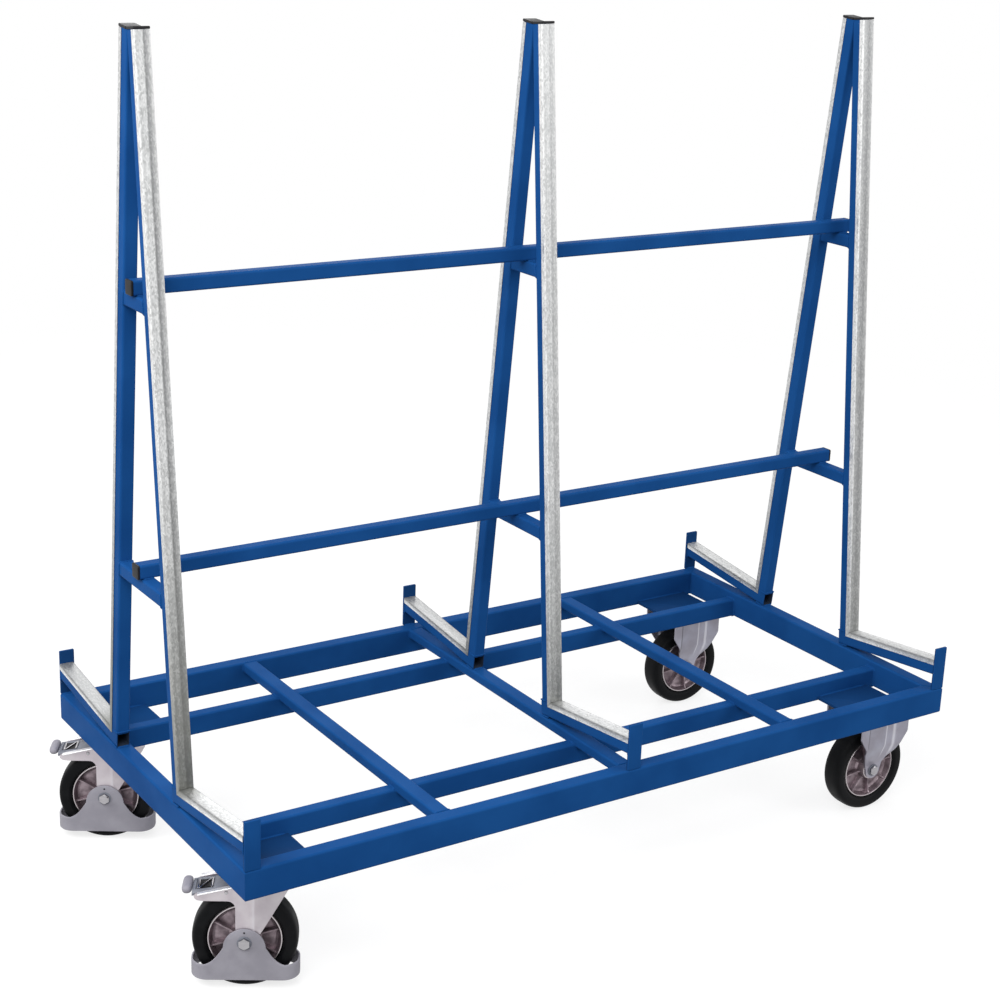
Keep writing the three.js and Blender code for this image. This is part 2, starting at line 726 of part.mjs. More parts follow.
// Fixed bracket: cheeks that splay and widen from the axle up to the plate, with a pressed rib
function cheekRing(level, half, from, to) {
  const z = WHEEL_RADIUS + level.rise;
  const near = -(CHEEK_GAP / 2 + level.splay + to);
  const far = -(CHEEK_GAP / 2 + level.splay + from);
  return [[-half, near, z], [half, near, z], [half, far, z], [-half, far, z]];
}

function bracketCheek(turn) {
  const ribProud = CHEEK_THICKNESS + BRACKET_RIB;
  const top = plateBottom + OVERLAP - WHEEL_RADIUS;
  const levels = [...BRACKET_LEVELS, { rise: top, ...BRACKET_TOP }];
  const sheet = levels.map((level) => cheekRing(level, level.half, 0, CHEEK_THICKNESS));
  const ribbed = levels.filter((level) => level.rib);
  const rib = ribbed.map((level) => cheekRing(level, level.rib, OVERLAP, ribProud));
  return join(solid(turned(loft(sheet), turn)), solid(turned(loft(rib), turn)));
}

function fixedBracket() {
  const cheeks = SIDES.map((side) => bracketCheek(side.turn));
  return cut(join(topPlate(), ...cheeks), axleDrill(0));
}

// Swivel castor: head with ball race and kingpin, fork, guard and brake pedal.
// Its own X runs from the swivel axis back over the wheel to the pedal.
function swivelHead() {
  const nutBottom = wheelTop + WHEEL_TO_KINGPIN;
  const profile = [
    [0, nutBottom], [KINGPIN_NUT_RADIUS, nutBottom], [KINGPIN_NUT_RADIUS, kingpinNutTop],
    [KINGPIN_RADIUS, kingpinNutTop], [KINGPIN_RADIUS, raceBottom], [RACE_RADIUS, raceBottom],
    [RACE_RADIUS, raceBottom + RACE_HEIGHT / 2], [RACE_NECK_RADIUS, plateBottom],
    [RACE_NECK_RADIUS, plateBottom + OVERLAP], [0, plateBottom + OVERLAP],
  ];
  const race = lathe(profile, RING_STEPS).rotateX(Math.PI / 2);
  return join(solid(race), topPlate());
}

function cheekOutline() {
  const backX = SWIVEL_TRAIL + CHEEK_BACK;
  const armBottom = pivotZ - FORK_ARM_DROP;
  const armTop = armBottom + FORK_ARM_TIP;
  const shape = new THREE.Shape();
  shape.moveTo(-CHEEK_FRONT, crownBottom + OVERLAP);
  shape.lineTo(SWIVEL_TRAIL - CHEEK_NECK, WHEEL_RADIUS + CHEEK_NECK_RISE);
  shape.absarc(SWIVEL_TRAIL, WHEEL_RADIUS, CHEEK_TOE, Math.PI, 2 * Math.PI);
  shape.lineTo(backX, armBottom - FORK_ARM_FILLET);
  shape.absarc(backX + FORK_ARM_FILLET, armBottom - FORK_ARM_FILLET, FORK_ARM_FILLET,
    Math.PI, Math.PI / 2, true);
  shape.lineTo(forkArmReach - FORK_ARM_TIP / 2, armBottom);
  shape.absarc(forkArmReach - FORK_ARM_TIP / 2, armBottom + FORK_ARM_TIP / 2, FORK_ARM_TIP / 2,
    -Math.PI / 2, Math.PI / 2);
  shape.lineTo(forkArmReach - FORK_ARM_TIP, armTop);
  shape.lineTo(PEDAL_START, crownBottom + OVERLAP);
  shape.closePath();
  return shape;
}

// A section in X and Z made into a plate across Y, from one distance to another
function acrossY(shape, from, to, steps = CORNER_STEPS) {
  return prism(shape, to - from, steps).rotateX(Math.PI / 2).translate(0, to, 0);
}

function pedalPinDrill() {
  const drill = rod(PEDAL_PIN_RADIUS + CLEARANCE, REACH);
  return solid(drill.translate(PEDAL_PIVOT_X, 0, pivotZ));
}

function fork() {
  const outline = cheekOutline();
  const inside = CHEEK_GAP / 2;
  const cheeks = [[-cheekOuter, -inside], [inside, cheekOuter]];
  const plates = cheeks.map(([from, to]) => solid(acrossY(outline, from, to)));
  const bridgeLength = CHEEK_FRONT + PEDAL_START;
  const bridgeSection = roundedRect(bridgeLength, 2 * cheekOuter, TUBE_CORNER);
  const bridge = prism(bridgeSection, CROWN_THICKNESS - CROWN_LIP);
  bridge.translate(PEDAL_START - bridgeLength / 2, 0, crownBottom);
  const crown = lathe([
    [0, crownBottom], [CROWN_RADIUS, crownBottom], [CROWN_RADIUS, crownTop - CROWN_LIP],
    [CROWN_RADIUS - CROWN_LIP, crownTop], [0, crownTop],
  ], RING_STEPS).rotateX(Math.PI / 2);
  const pinHole = uprightRod(KINGPIN_RADIUS + CLEARANCE, crownBottom - OVERLAP, crownTop + OVERLAP,
    RING_STEPS);
  const body = join(solid(crown), solid(bridge), ...plates);
  return cut(body, solid(pinHole), axleDrill(SWIVEL_TRAIL), pedalPinDrill());
}

function guardOutline() {
  const bottom = GUARD_BOTTOM;
  const beltTop = GUARD_BOTTOM + GUARD_BELT;
  const middle = SWIVEL_TRAIL;
  const half = guardLength / 2 - GUARD_CORNER;
  const dome = GUARD_DOME_RADIUS;
  const domeZ = WHEEL_RADIUS - GUARD_DOME_DROP;
  const spread = GUARD_FLANK - dome;
  const upperX = dome + GUARD_FLARE * spread;
  const lowerX = dome + GUARD_SWEEP * spread;
  const upperZ = (beltTop + 2 * domeZ) / 3;
  const lowerZ = beltTop + OVERLAP;
  const shape = new THREE.Shape();
  shape.moveTo(middle - half, bottom);
  shape.lineTo(middle + half, bottom);
  shape.lineTo(middle + GUARD_FLANK, beltTop);
  shape.bezierCurveTo(middle + lowerX, lowerZ, middle + upperX, upperZ, middle + dome, domeZ);
  shape.absarc(middle, domeZ, dome, 0, Math.PI);
  shape.bezierCurveTo(middle - upperX, upperZ, middle - lowerX, lowerZ, middle - GUARD_FLANK, beltTop);
  shape.closePath();
  return shape;
}

function guard() {
  const width = 2 * guardOuter;
  const beltSection = roundedRect(guardLength, width, GUARD_CORNER);
  const inset = 2 * GUARD_WALL;
  beltSection.holes.push(roundedRect(guardLength - inset, width - inset, GUARD_CORNER - GUARD_WALL));
  const belt = prism(beltSection, GUARD_BELT, BELT_STEPS).translate(SWIVEL_TRAIL, 0, GUARD_BOTTOM);
  const outline = guardOutline();
  const inside = guardOuter - GUARD_WALL;
  const walls = [[-guardOuter, -inside], [inside, guardOuter]];
  const bells = walls.map(([from, to]) => solid(acrossY(outline, from, to, CURVE_STEPS)));
  return cut(join(solid(belt), ...bells), axleDrill(SWIVEL_TRAIL));
}

// The pedal's plate slopes down from the crown, with side lugs on its pin and an open window
function pedalTop(x) {
  return pivotZ + PEDAL_LIFT + PEDAL_SHEET - (x - PEDAL_PIVOT_X) * Math.tan(PEDAL_SLOPE);
}

function pedal() {
  const half = CHEEK_GAP / 2 - 2 * CLEARANCE;
  const sheet = new THREE.Shape();
  sheet.moveTo(PEDAL_START, pedalTop(PEDAL_START) - PEDAL_SHEET);
  sheet.lineTo(PEDAL_END, pedalTop(PEDAL_END) - PEDAL_SHEET);
  sheet.lineTo(PEDAL_END, pedalTop(PEDAL_END));
  sheet.lineTo(PEDAL_START, pedalTop(PEDAL_START));
  sheet.closePath();
  const lug = new THREE.Shape();
  lug.moveTo(PEDAL_PIVOT_X - PEDAL_LUG, pedalTop(PEDAL_PIVOT_X - PEDAL_LUG) - OVERLAP);
  lug.absarc(PEDAL_PIVOT_X, pivotZ, PEDAL_PIN_RADIUS + OVERLAP, Math.PI, 2 * Math.PI);
  lug.lineTo(PEDAL_PIVOT_X + PEDAL_LUG, pedalTop(PEDAL_PIVOT_X + PEDAL_LUG) - OVERLAP);
  lug.closePath();
  const lugs = [[-half, PEDAL_SHEET - half], [half - PEDAL_SHEET, half]];
  const lugPlates = lugs.map(([from, to]) => solid(acrossY(lug, from, to)));
  const pinReach = cheekOuter + CLEARANCE + PEDAL_PIN_HEAD;
  const pin = rod(PEDAL_PIN_RADIUS, 2 * pinReach).translate(PEDAL_PIVOT_X, 0, pivotZ);
  const heads = [-1, 1].map((sign) => {
    const head = rod(PEDAL_PIN_RADIUS + PEDAL_PIN_HEAD, PEDAL_PIN_HEAD);
    return solid(head.translate(PEDAL_PIVOT_X, sign * (pinReach - PEDAL_PIN_HEAD / 2), pivotZ));
  });
  const window = prism(roundedRect(PEDAL_WINDOW_LENGTH, PEDAL_WINDOW_WIDTH, TUBE_CORNER), REACH);
  const plate = cut(solid(acrossY(sheet, -half, half)), solid(window.translate(PEDAL_WINDOW_X, 0, 0)));
  return join(plate, ...lugPlates, solid(pin), ...heads);
}

// Plastic pad on the pedal's outer end, rounded in plan
function grip() {
  const start = PEDAL_END + CLEARANCE;
  const shape = new THREE.Shape();
  shape.moveTo(start, -GRIP_WIDTH / 2);
  shape.bezierCurveTo(start + GRIP_LENGTH, -GRIP_WIDTH / 2, start + GRIP_LENGTH, -GRIP_WIDTH / 4,
    start + GRIP_LENGTH, 0);
  shape.bezierCurveTo(start + GRIP_LENGTH, GRIP_WIDTH / 4, start + GRIP_LENGTH, GRIP_WIDTH / 2,
    start, GRIP_WIDTH / 2);
  shape.closePath();
  const middle = pedalTop(PEDAL_END) - PEDAL_SHEET / 2;
  const pad = prism(shape, GRIP_THICKNESS, CURVE_STEPS);
  return solid(pad.translate(0, 0, middle - GRIP_THICKNESS / 2));
}

function addCastors(parent) {
  for (const side of SIDES) {
    const fixed = new THREE.Group();
    fixed.position.set(fixedX, side.sign * castorY, 0);
    parent.add(fixed);
    const fixedName = `${side.name}_fixed`;
    part(fixed, `${fixedName}_bracket`, fixedBracket(), 'zinc');
    addWheel(fixed, fixedName, 0, cheekOuter);

    const swivel = new THREE.Group();
    swivel.position.set(swivelX, side.sign * castorY, 0);
    parent.add(swivel);
    const swivelName = `${side.name}_swivel`;
    part(swivel, `${swivelName}_head`, swivelHead(), 'zinc');
    const turning = new THREE.Group();
    turning.rotation.z = SWIVEL_HEADING;
    swivel.add(turning);
    part(turning, `${swivelName}_fork`, fork(), 'zinc');
    part(turning, `${swivelName}_guard`, guard(), 'grey_plastic');
    part(turning, `${side.name}_brake_pedal`, pedal(), 'zinc');
    part(turning, `${side.name}_brake_grip`, grip(), 'grey_plastic');
    addWheel(turning, swivelName, SWIVEL_TRAIL, guardOuter);
  }
}

const cart = new THREE.Group();
cart.position.x = ORIGIN_TO_BASE;
addBase(cart);
addFrames(cart);
addBars(cart);
addCastors(cart);

export default cart;
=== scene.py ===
# %% [markdown]
# # A sheet goods cart, dressed for the camera
# The cart carries boards and panes upright. A welded tube base stands on two fixed and two braked
# swivel castors, and three A-frames with galvanised strips hold the sheets on both sides. The
# engineering model gives every piece its place and its motion. This lesson puts a finer surface in
# the place of each solid, and then works out its paint, zinc, aluminium, plastic and rubber.

# %% Load the frame
import math
import bpy
import numpy as np
from mathutils import Matrix, Vector


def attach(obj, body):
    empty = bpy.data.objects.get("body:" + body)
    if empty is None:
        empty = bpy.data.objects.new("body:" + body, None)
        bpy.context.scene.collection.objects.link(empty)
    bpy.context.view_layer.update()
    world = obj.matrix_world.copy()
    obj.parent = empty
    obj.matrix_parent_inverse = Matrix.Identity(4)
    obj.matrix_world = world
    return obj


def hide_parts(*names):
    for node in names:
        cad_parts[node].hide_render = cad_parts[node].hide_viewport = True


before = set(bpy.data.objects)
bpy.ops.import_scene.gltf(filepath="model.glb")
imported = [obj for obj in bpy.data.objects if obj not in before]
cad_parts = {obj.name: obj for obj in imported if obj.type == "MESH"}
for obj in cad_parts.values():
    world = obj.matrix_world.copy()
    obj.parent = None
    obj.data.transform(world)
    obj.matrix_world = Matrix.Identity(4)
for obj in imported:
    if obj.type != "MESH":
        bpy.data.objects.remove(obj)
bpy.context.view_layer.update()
print("nodes:", len(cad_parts))

# %% [markdown]
# ## How a surface is written down
# A surface here is an array of points with faces between them. It could be drawn with mesh operators,
# but a formula on a whole array is shorter, exact, and easy to change. Points are in millimetres from
# the middle of the base, as on a drawing, and turn to metres from the origin once, when they enter
# the mesh. Each point also keeps its run, so that a finish can follow the metal: the distance round
# the section and along the piece, and on painted steel a third number, which is 1 where the coat is
# missing inside a bore and a smaller share where shade is painted into the coat.

# %% A surface and its points
MM = 0.001
ORIGIN_TO_BASE = 14.0
MERGE_DIGITS = 4
AXIS_X = np.array([1.0, 0.0, 0.0])
AXIS_Y = np.array([0.0, 1.0, 0.0])
AXIS_Z = np.array([0.0, 0.0, 1.0])


class Shell:
    """Points, four-cornered faces between them, larger flat faces, and the run of each point."""

    def __init__(self, points, quads, caps=(), run=None):
        self.points = np.asarray(points, float).reshape(-1, 3)
        self.quads = np.asarray(quads, int).reshape(-1, 4)
        self.caps = [np.asarray(cap, int) for cap in caps]
        self.run = np.zeros_like(self.points)
        if run is not None:
            self.run = np.asarray(run, float).reshape(-1, 3)

    def triangles(self):
        """Each four-cornered face as two triangles, each larger face as a fan from its first corner."""
        parts = [self.quads[:, [0, 1, 2]], self.quads[:, [0, 2, 3]]]
        for cap in self.caps:
            first = np.full(len(cap) - 2, cap[0])
            parts.append(np.stack([first, cap[1:-1], cap[2:]], 1))
        return np.concatenate(parts)

    def volume(self):
        """A sixth of the sum of a . (b x c) over all triangles, positive if the faces point outwards."""
        a, b, c = np.moveaxis(self.points[self.triangles()], 1, 0)
        return np.sum(a * np.cross(b, c)) / 6

    def outward(self):
        """The same surface with its faces pointing outwards."""
        if self.volume() < 0:
            self.quads = self.quads[:, ::-1]
            self.caps = [cap[::-1] for cap in self.caps]
        return self

    def changed(self, points):
        return Shell(points, self.quads, self.caps, self.run).outward()

    def moved(self, x=0.0, y=0.0, z=0.0):
        return self.changed(self.points + np.array([x, y, z]))

    def turned(self, angle):
        """Turned about the upright axis: x' = x cos - y sin, y' = x sin + y cos."""
        cosine = math.cos(angle)
        sine = math.sin(angle)
        turn = np.array([[cosine, -sine, 0.0], [sine, cosine, 0.0], [0.0, 0.0, 1.0]])
        return self.changed(self.points @ turn.T)

    def placed(self, origin, across, up, along):
        """Each point (u, v, w) goes to origin + u across + v up + w along."""
        axes = np.stack([across, up, along])
        return self.changed(np.asarray(origin, float) + self.points @ axes)


def grid(points, wrap_rows=False, wrap_columns=False, caps=False, run=None):
    """A sheet over rows and columns of points. It may close on itself, or end in flat faces."""
    rows, columns = points.shape[:2]
    i = np.arange(rows if wrap_rows else rows - 1)[:, None]
    j = np.arange(columns if wrap_columns else columns - 1)[None, :]
    below = (i + 1) % rows
    beside = (j + 1) % columns
    corners = [i * columns + j, i * columns + beside, below * columns + beside, below * columns + j]
    quads = np.stack(np.broadcast_arrays(*corners), -1)
    ring = np.arange(columns)
    ends = [ring[::-1], ring + (rows - 1) * columns] if caps else []
    return Shell(points, quads, ends, run).outward()


# %% A surface becomes an object
def merged(shell):
    """Points that agree to a tenth of a micron become one, and faces lose repeated corners."""
    keys = np.round(shell.points, MERGE_DIGITS)
    _, first, where = np.unique(keys, axis=0, return_index=True, return_inverse=True)
    where = where.reshape(-1)
    quads = where[shell.quads]
    kept = quads != np.roll(quads, 1, axis=1)
    corners = kept.sum(1)
    fours = quads[corners == 4]
    threes = quads[corners == 3][kept[corners == 3]].reshape(-1, 3)
    caps = [where[cap] for cap in shell.caps]
    caps = [cap[cap != np.roll(cap, 1)] for cap in caps]
    return first, fours, threes, [cap for cap in caps if len(cap) > 2]


def faces_of(shells):
    """All shells as one list of points, runs and faces."""
    points = []
    run = []
    faces = []
    count = 0
    for shell in shells:
        first, fours, threes, caps = merged(shell)
        points.append(shell.points[first])
        run.append(shell.run[first])
        faces += (fours + count).tolist() + (threes + count).tolist()
        faces += [(cap + count).tolist() for cap in caps]
        count += len(first)
    placed = np.concatenate(points) + AXIS_X * ORIGIN_TO_BASE
    return placed * MM, np.concatenate(run) * MM, faces


def open_edges(mesh):
    """How many edges don't lie between exactly two faces."""
    edge = np.zeros(len(mesh.loops), dtype=np.int32)
    mesh.loops.foreach_get("edge_index", edge)
    return int(np.sum(np.bincount(edge) != 2))


def piece(name, body, finish, shells, stands_for=(), crease=32.0):
    """One object from its shells, shaded smooth up to the crease angle, riding on a body of the cart."""
    points, run, faces = faces_of(shells)
    mesh = bpy.data.meshes.new(name)
    mesh.from_pydata(points.tolist(), [], faces)
    mesh.polygons.foreach_set("use_smooth", np.ones(len(mesh.polygons), dtype=bool))
    mesh.set_sharp_from_angle(angle=math.radians(crease))
    laid = mesh.attributes.new("run", "FLOAT_VECTOR", "POINT")
    laid.data.foreach_set("vector", run.astype(np.float32).ravel())
    mesh.materials.append(finish)
    made = bpy.data.objects.new(name, mesh)
    bpy.context.scene.collection.objects.link(made)
    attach(made, body)
    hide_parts(*stands_for)
    print(name, "faces:", len(mesh.polygons), "open edges:", open_edges(mesh))
    return made


# %% [markdown]
# ## Sections and the ways to carry them
# Steel tube has round corners, folded sheet has round bends, and a cut plate has a broken edge. Light
# runs along these small curves, so they are worth their points. A section is a closed line of points,
# and it is carried straight between two cutting planes, turned on a lathe, or stacked into a plate.

# %% Sections
CORNER_SHARE = 0.45


def rounded(width, height, radius, steps=5, support=0.5):
    """A rectangle with quarter-circle corners. A point beside each corner keeps the sides flat."""
    start = np.arange(4)[:, None] * np.pi / 2 - np.pi / 2
    angle = start + np.linspace(0, np.pi / 2, steps + 1)
    middle_x = np.array([1, 1, -1, -1])[:, None] * (width / 2 - radius)
    middle_y = np.array([-1, 1, 1, -1])[:, None] * (height / 2 - radius)
    arcs = np.stack([middle_x + radius * np.cos(angle), middle_y + radius * np.sin(angle)], -1)
    ahead = np.stack([-np.sin(angle), np.cos(angle)], -1)
    before = arcs[:, :1] - support * ahead[:, :1]
    after = arcs[:, -1:] + support * ahead[:, -1:]
    return np.concatenate([before, arcs, after], 1).reshape(-1, 2)


def softened(corners, radius, steps=4, closed=False):
    """Each corner p becomes a curve (1-t)^2 a + 2t(1-t) p + t^2 b from a point before to one after."""
    p = np.asarray(corners, float)
    back = np.roll(p, 1, axis=0) - p
    ahead = np.roll(p, -1, axis=0) - p
    near = np.linalg.norm(back, axis=1, keepdims=True)
    far = np.linalg.norm(ahead, axis=1, keepdims=True)
    reach = np.broadcast_to(np.asarray(radius, float).reshape(-1, 1), near.shape)
    a = p + back / near * np.minimum(reach, CORNER_SHARE * near)
    b = p + ahead / far * np.minimum(reach, CORNER_SHARE * far)
    t = np.linspace(0, 1, steps + 1)[None, :, None]
    curve = (1 - t) ** 2 * a[:, None] + 2 * t * (1 - t) * p[:, None] + t ** 2 * b[:, None]
    if closed:
        return curve.reshape(-1, 2)
    return np.concatenate([p[:1], curve[1:-1].reshape(-1, 2), p[-1:]])


def arc(middle, radius, start, end, steps=12):
    """Points on a circle from one angle to another, in degrees."""
    angle = np.radians(np.linspace(start, end, steps + 1))
    return np.asarray(middle, float) + radius * np.stack([np.cos(angle), np.sin(angle)], -1)


def girth(section):
    """The distance round a section at each of its points."""
    step = np.linalg.norm(np.diff(section, axis=0), axis=1)
    return np.concatenate([[0.0], np.cumsum(step)])


def half_chord(radius, height):
    """Half the width of a circle at a height over its middle."""
    return np.sqrt(np.clip(radius ** 2 - height ** 2, 0, None))


def blunt(wave, power):
    """A wave from -1 to 1 with its size raised to a power and its sign kept."""
    return np.sign(wave) * np.abs(wave) ** power


def smooth_step(t):
    """A step 3 t^2 - 2 t^3 from 0 to 1."""
    t = np.clip(t, 0, 1)
    return t * t * (3 - 2 * t)


# %% Ways to carry a section
def carried(section, origin, across, up, along, planes, bore=None):
    """A section carried straight and cut by planes. A point is origin + u across + v up + t along,
    where t = (place - origin - u across - v up) . normal / (along . normal) for each cutting plane.
    A bore is carried back inside, and no paint gets there."""
    def ring(line, plane):
        place, normal = plane
        flat = origin + line[:, :1] * across + line[:, 1:] * up
        t = (place - flat) @ normal / (along @ normal)
        return flat + t[:, None] * along

    rings = [ring(section, plane) for plane in planes]
    lines = [section] * len(planes)
    hollow = bore is not None
    if hollow:
        rings += [ring(bore, plane) for plane in planes[::-1]]
        lines += [bore] * len(planes)
    points = np.stack(rings)
    distance = (points - origin) @ along
    around = np.stack([girth(line) for line in lines])
    bare_or_shaded = np.zeros_like(distance)
    bare_or_shaded[len(planes):] = 1.0
    run = np.stack([around, distance, bare_or_shaded], -1)
    return grid(points, wrap_rows=hollow, wrap_columns=True, caps=not hollow, run=run)


def lathe(profile, steps=64, closed=False):
    """A line of (radius, height) turned about the height: (r cos a, r sin a, h)."""
    line = np.asarray(profile, float)
    angle = np.linspace(0, 2 * np.pi, steps, endpoint=False)[:, None]
    radius = line[None, :, 0]
    height = np.broadcast_to(line[None, :, 1], (steps, len(line)))
    points = np.stack([radius * np.cos(angle), radius * np.sin(angle), height], -1)
    around = np.broadcast_to(angle, height.shape) * np.max(line[:, 0])
    run = np.stack([around, np.broadcast_to(radius, height.shape), height], -1)
    return grid(points, wrap_rows=True, wrap_columns=closed, run=run)


def plate(outline, low, high, edge=0.8, steps=3):
    """A flat plate with a round rim: at angle a the outline shrinks by edge (1 - sin a)
    and the rim lies edge (1 - cos a) inside the face."""
    ahead = np.roll(outline, -1, axis=0) - np.roll(outline, 1, axis=0)
    inward = np.stack([-ahead[:, 1], ahead[:, 0]], -1)
    inward = inward / np.linalg.norm(inward, axis=1, keepdims=True)
    angle = np.linspace(0, np.pi / 2, steps + 1)
    shrink = edge * (1 - np.sin(angle))
    rise = edge * (1 - np.cos(angle))
    inset = np.concatenate([shrink, shrink[::-1]])[:, None, None]
    level = np.concatenate([low + rise, high - rise[::-1]])[:, None, None]
    flat = outline[None] + inset * inward[None]
    height = np.broadcast_to(level, flat.shape[:2] + (1,))
    return grid(np.concatenate([flat, height], -1), wrap_columns=True, caps=True)


def oblong(x0, x1, y0, y1, corner=2.0):
    """A rectangle between two corners, anticlockwise, with small round corners."""
    corners = [(x0, y0), (x1, y0), (x1, y1), (x0, y1)]
    return softened(corners, corner, closed=True)


def closed_sheet(outer, inner):
    """Two faces of one sheet, closed: across the first, round the edge and back across the second."""
    points = np.concatenate([outer, inner[:, ::-1]], 1)
    return grid(points, wrap_columns=True, caps=True, run=points)


# %% [markdown]
# ## Weld beads and fasteners
# The frame is welded, and the painted beads show as small ripples at every joint. A bead is a round
# section that follows the joint and swells a little with each drop. Nuts and bolt heads are hexagons
# whose corners are clipped by a cone, which gives the bright curved edges of turned steel.

# %% Weld beads
BEAD_RADIUS = 1.8
BEAD_STEP = 1.1
BEAD_LEAST = 8
BEAD_PITCH = 4.2
BEAD_SWELL = 0.13
BEAD_BLUNT = 8
BEAD_SIDES = 8


def bead(path, normal, radius=BEAD_RADIUS, closed=False):
    """A round section along a path: point = spine + r (cos a side + sin a normal), where r swells as
    1 + 0.13 cos(2 pi s / pitch) with the distance s and falls to nothing at open ends."""
    line = np.asarray(path, float)
    if closed:
        line = np.concatenate([line, line[:1]])
    length = girth(line)
    count = max(BEAD_LEAST, int(length[-1] / BEAD_STEP))
    at = np.linspace(0, length[-1], count, endpoint=not closed)
    spine = np.stack([np.interp(at, length, line[:, k]) for k in range(3)], 1)
    ahead = np.gradient(spine, axis=0)
    if closed:
        ahead = np.roll(spine, -1, axis=0) - np.roll(spine, 1, axis=0)
    ahead = ahead / np.linalg.norm(ahead, axis=1, keepdims=True)
    side = np.cross(ahead, normal)
    swell = radius * (1 + BEAD_SWELL * np.cos(2 * np.pi * at / BEAD_PITCH))
    if not closed:
        swell = swell * np.sqrt(np.clip(1 - np.abs(2 * at / length[-1] - 1) ** BEAD_BLUNT, 0, 1))
    angle = np.linspace(0, 2 * np.pi, BEAD_SIDES, endpoint=False)[None, :, None]
    ring = np.cos(angle) * side[:, None] + np.sin(angle) * np.asarray(normal)[None, None]
    points = spine[:, None] + swell[:, None, None] * ring
    return grid(points, wrap_rows=closed, wrap_columns=True)


def level_bead(start, end, radius):
    """A straight bead on a level face."""
    return bead([start, end], AXIS_Z, radius)


def loop_bead(section, middle, across, normal):
    """A bead round a section where its tube meets an upright wall."""
    path = np.asarray(middle) + section[:, :1] * across + section[:, 1:] * AXIS_Z
    return bead(path, normal, closed=True)


# %% Fasteners
HEX_POINTS = 36
HEX_FACE = 0.87
HEX_DOME_AT = 0.6
HEX_DOME_RISE = 0.75


def hexagon(radius, low, high, dome=0.0):
    """A six-sided head: its reach at angle a is R cos 30 / cos a', with a' counted from the nearest
    flat. A cone of 30 degrees clips the corners at the top, and a low dome may rise inside."""
    angle = np.linspace(0, 2 * np.pi, HEX_POINTS, endpoint=False)
    from_flat = (angle + np.pi / 6) % (np.pi / 3) - np.pi / 6
    flat = radius * math.cos(np.pi / 6)
    reach = flat / np.cos(from_flat)
    face = HEX_FACE * flat
    clipped = high - (reach - face) * math.tan(np.pi / 6)
    bend = HEX_DOME_AT * face
    crown = high + HEX_DOME_RISE * dome
    radii = np.stack(np.broadcast_arrays(0.0, reach, reach, face, bend, 0.0))
    heights = np.stack(np.broadcast_arrays(low, low, clipped, high, crown, high + dome))
    points = np.stack([radii * np.cos(angle), radii * np.sin(angle), heights], -1)
    return grid(points, wrap_columns=True)


def disc(radius, low, high, edge=0.5, steps=40):
    """A round plate with softened rims."""
    profile = [(0, low), (radius, low), (radius, high), (0, high)]
    return lathe(softened(profile, edge), steps)


def collar(inner, outer, low, high, edge=0.4, steps=40):
    """A ring with softened rims."""
    corners = [(inner, low), (outer, low), (outer, high), (inner, high)]
    return lathe(softened(corners, edge, closed=True), steps, closed=True)


# %% [markdown]
# ## Writing a finish as sums
# A finish is a small tree of nodes. Placing nodes by hand hides the idea, so a wire is wrapped in a
# class that understands plus, minus and times, and each sign adds one Math node. Every other node
# comes from one method. On the cart only colour, roughness and bump change over a surface.

# %% Wires and finishes
CLOUD_SPAN = (0.3, 0.7)


class Wire:
    """One output of a node. Sums with it add Math nodes."""

    def __init__(self, finish, socket):
        self.finish = finish
        self.socket = socket

    def math(self, operation, first, second):
        return self.finish.node("ShaderNodeMath", {"operation": operation}, {0: first, 1: second})

    def __add__(self, other):
        return self.math("ADD", self, other)

    def __sub__(self, other):
        return self.math("SUBTRACT", self, other)

    def __rsub__(self, other):
        return self.math("SUBTRACT", other, self)

    def __mul__(self, other):
        return self.math("MULTIPLY", self, other)

    __radd__ = __add__
    __rmul__ = __mul__


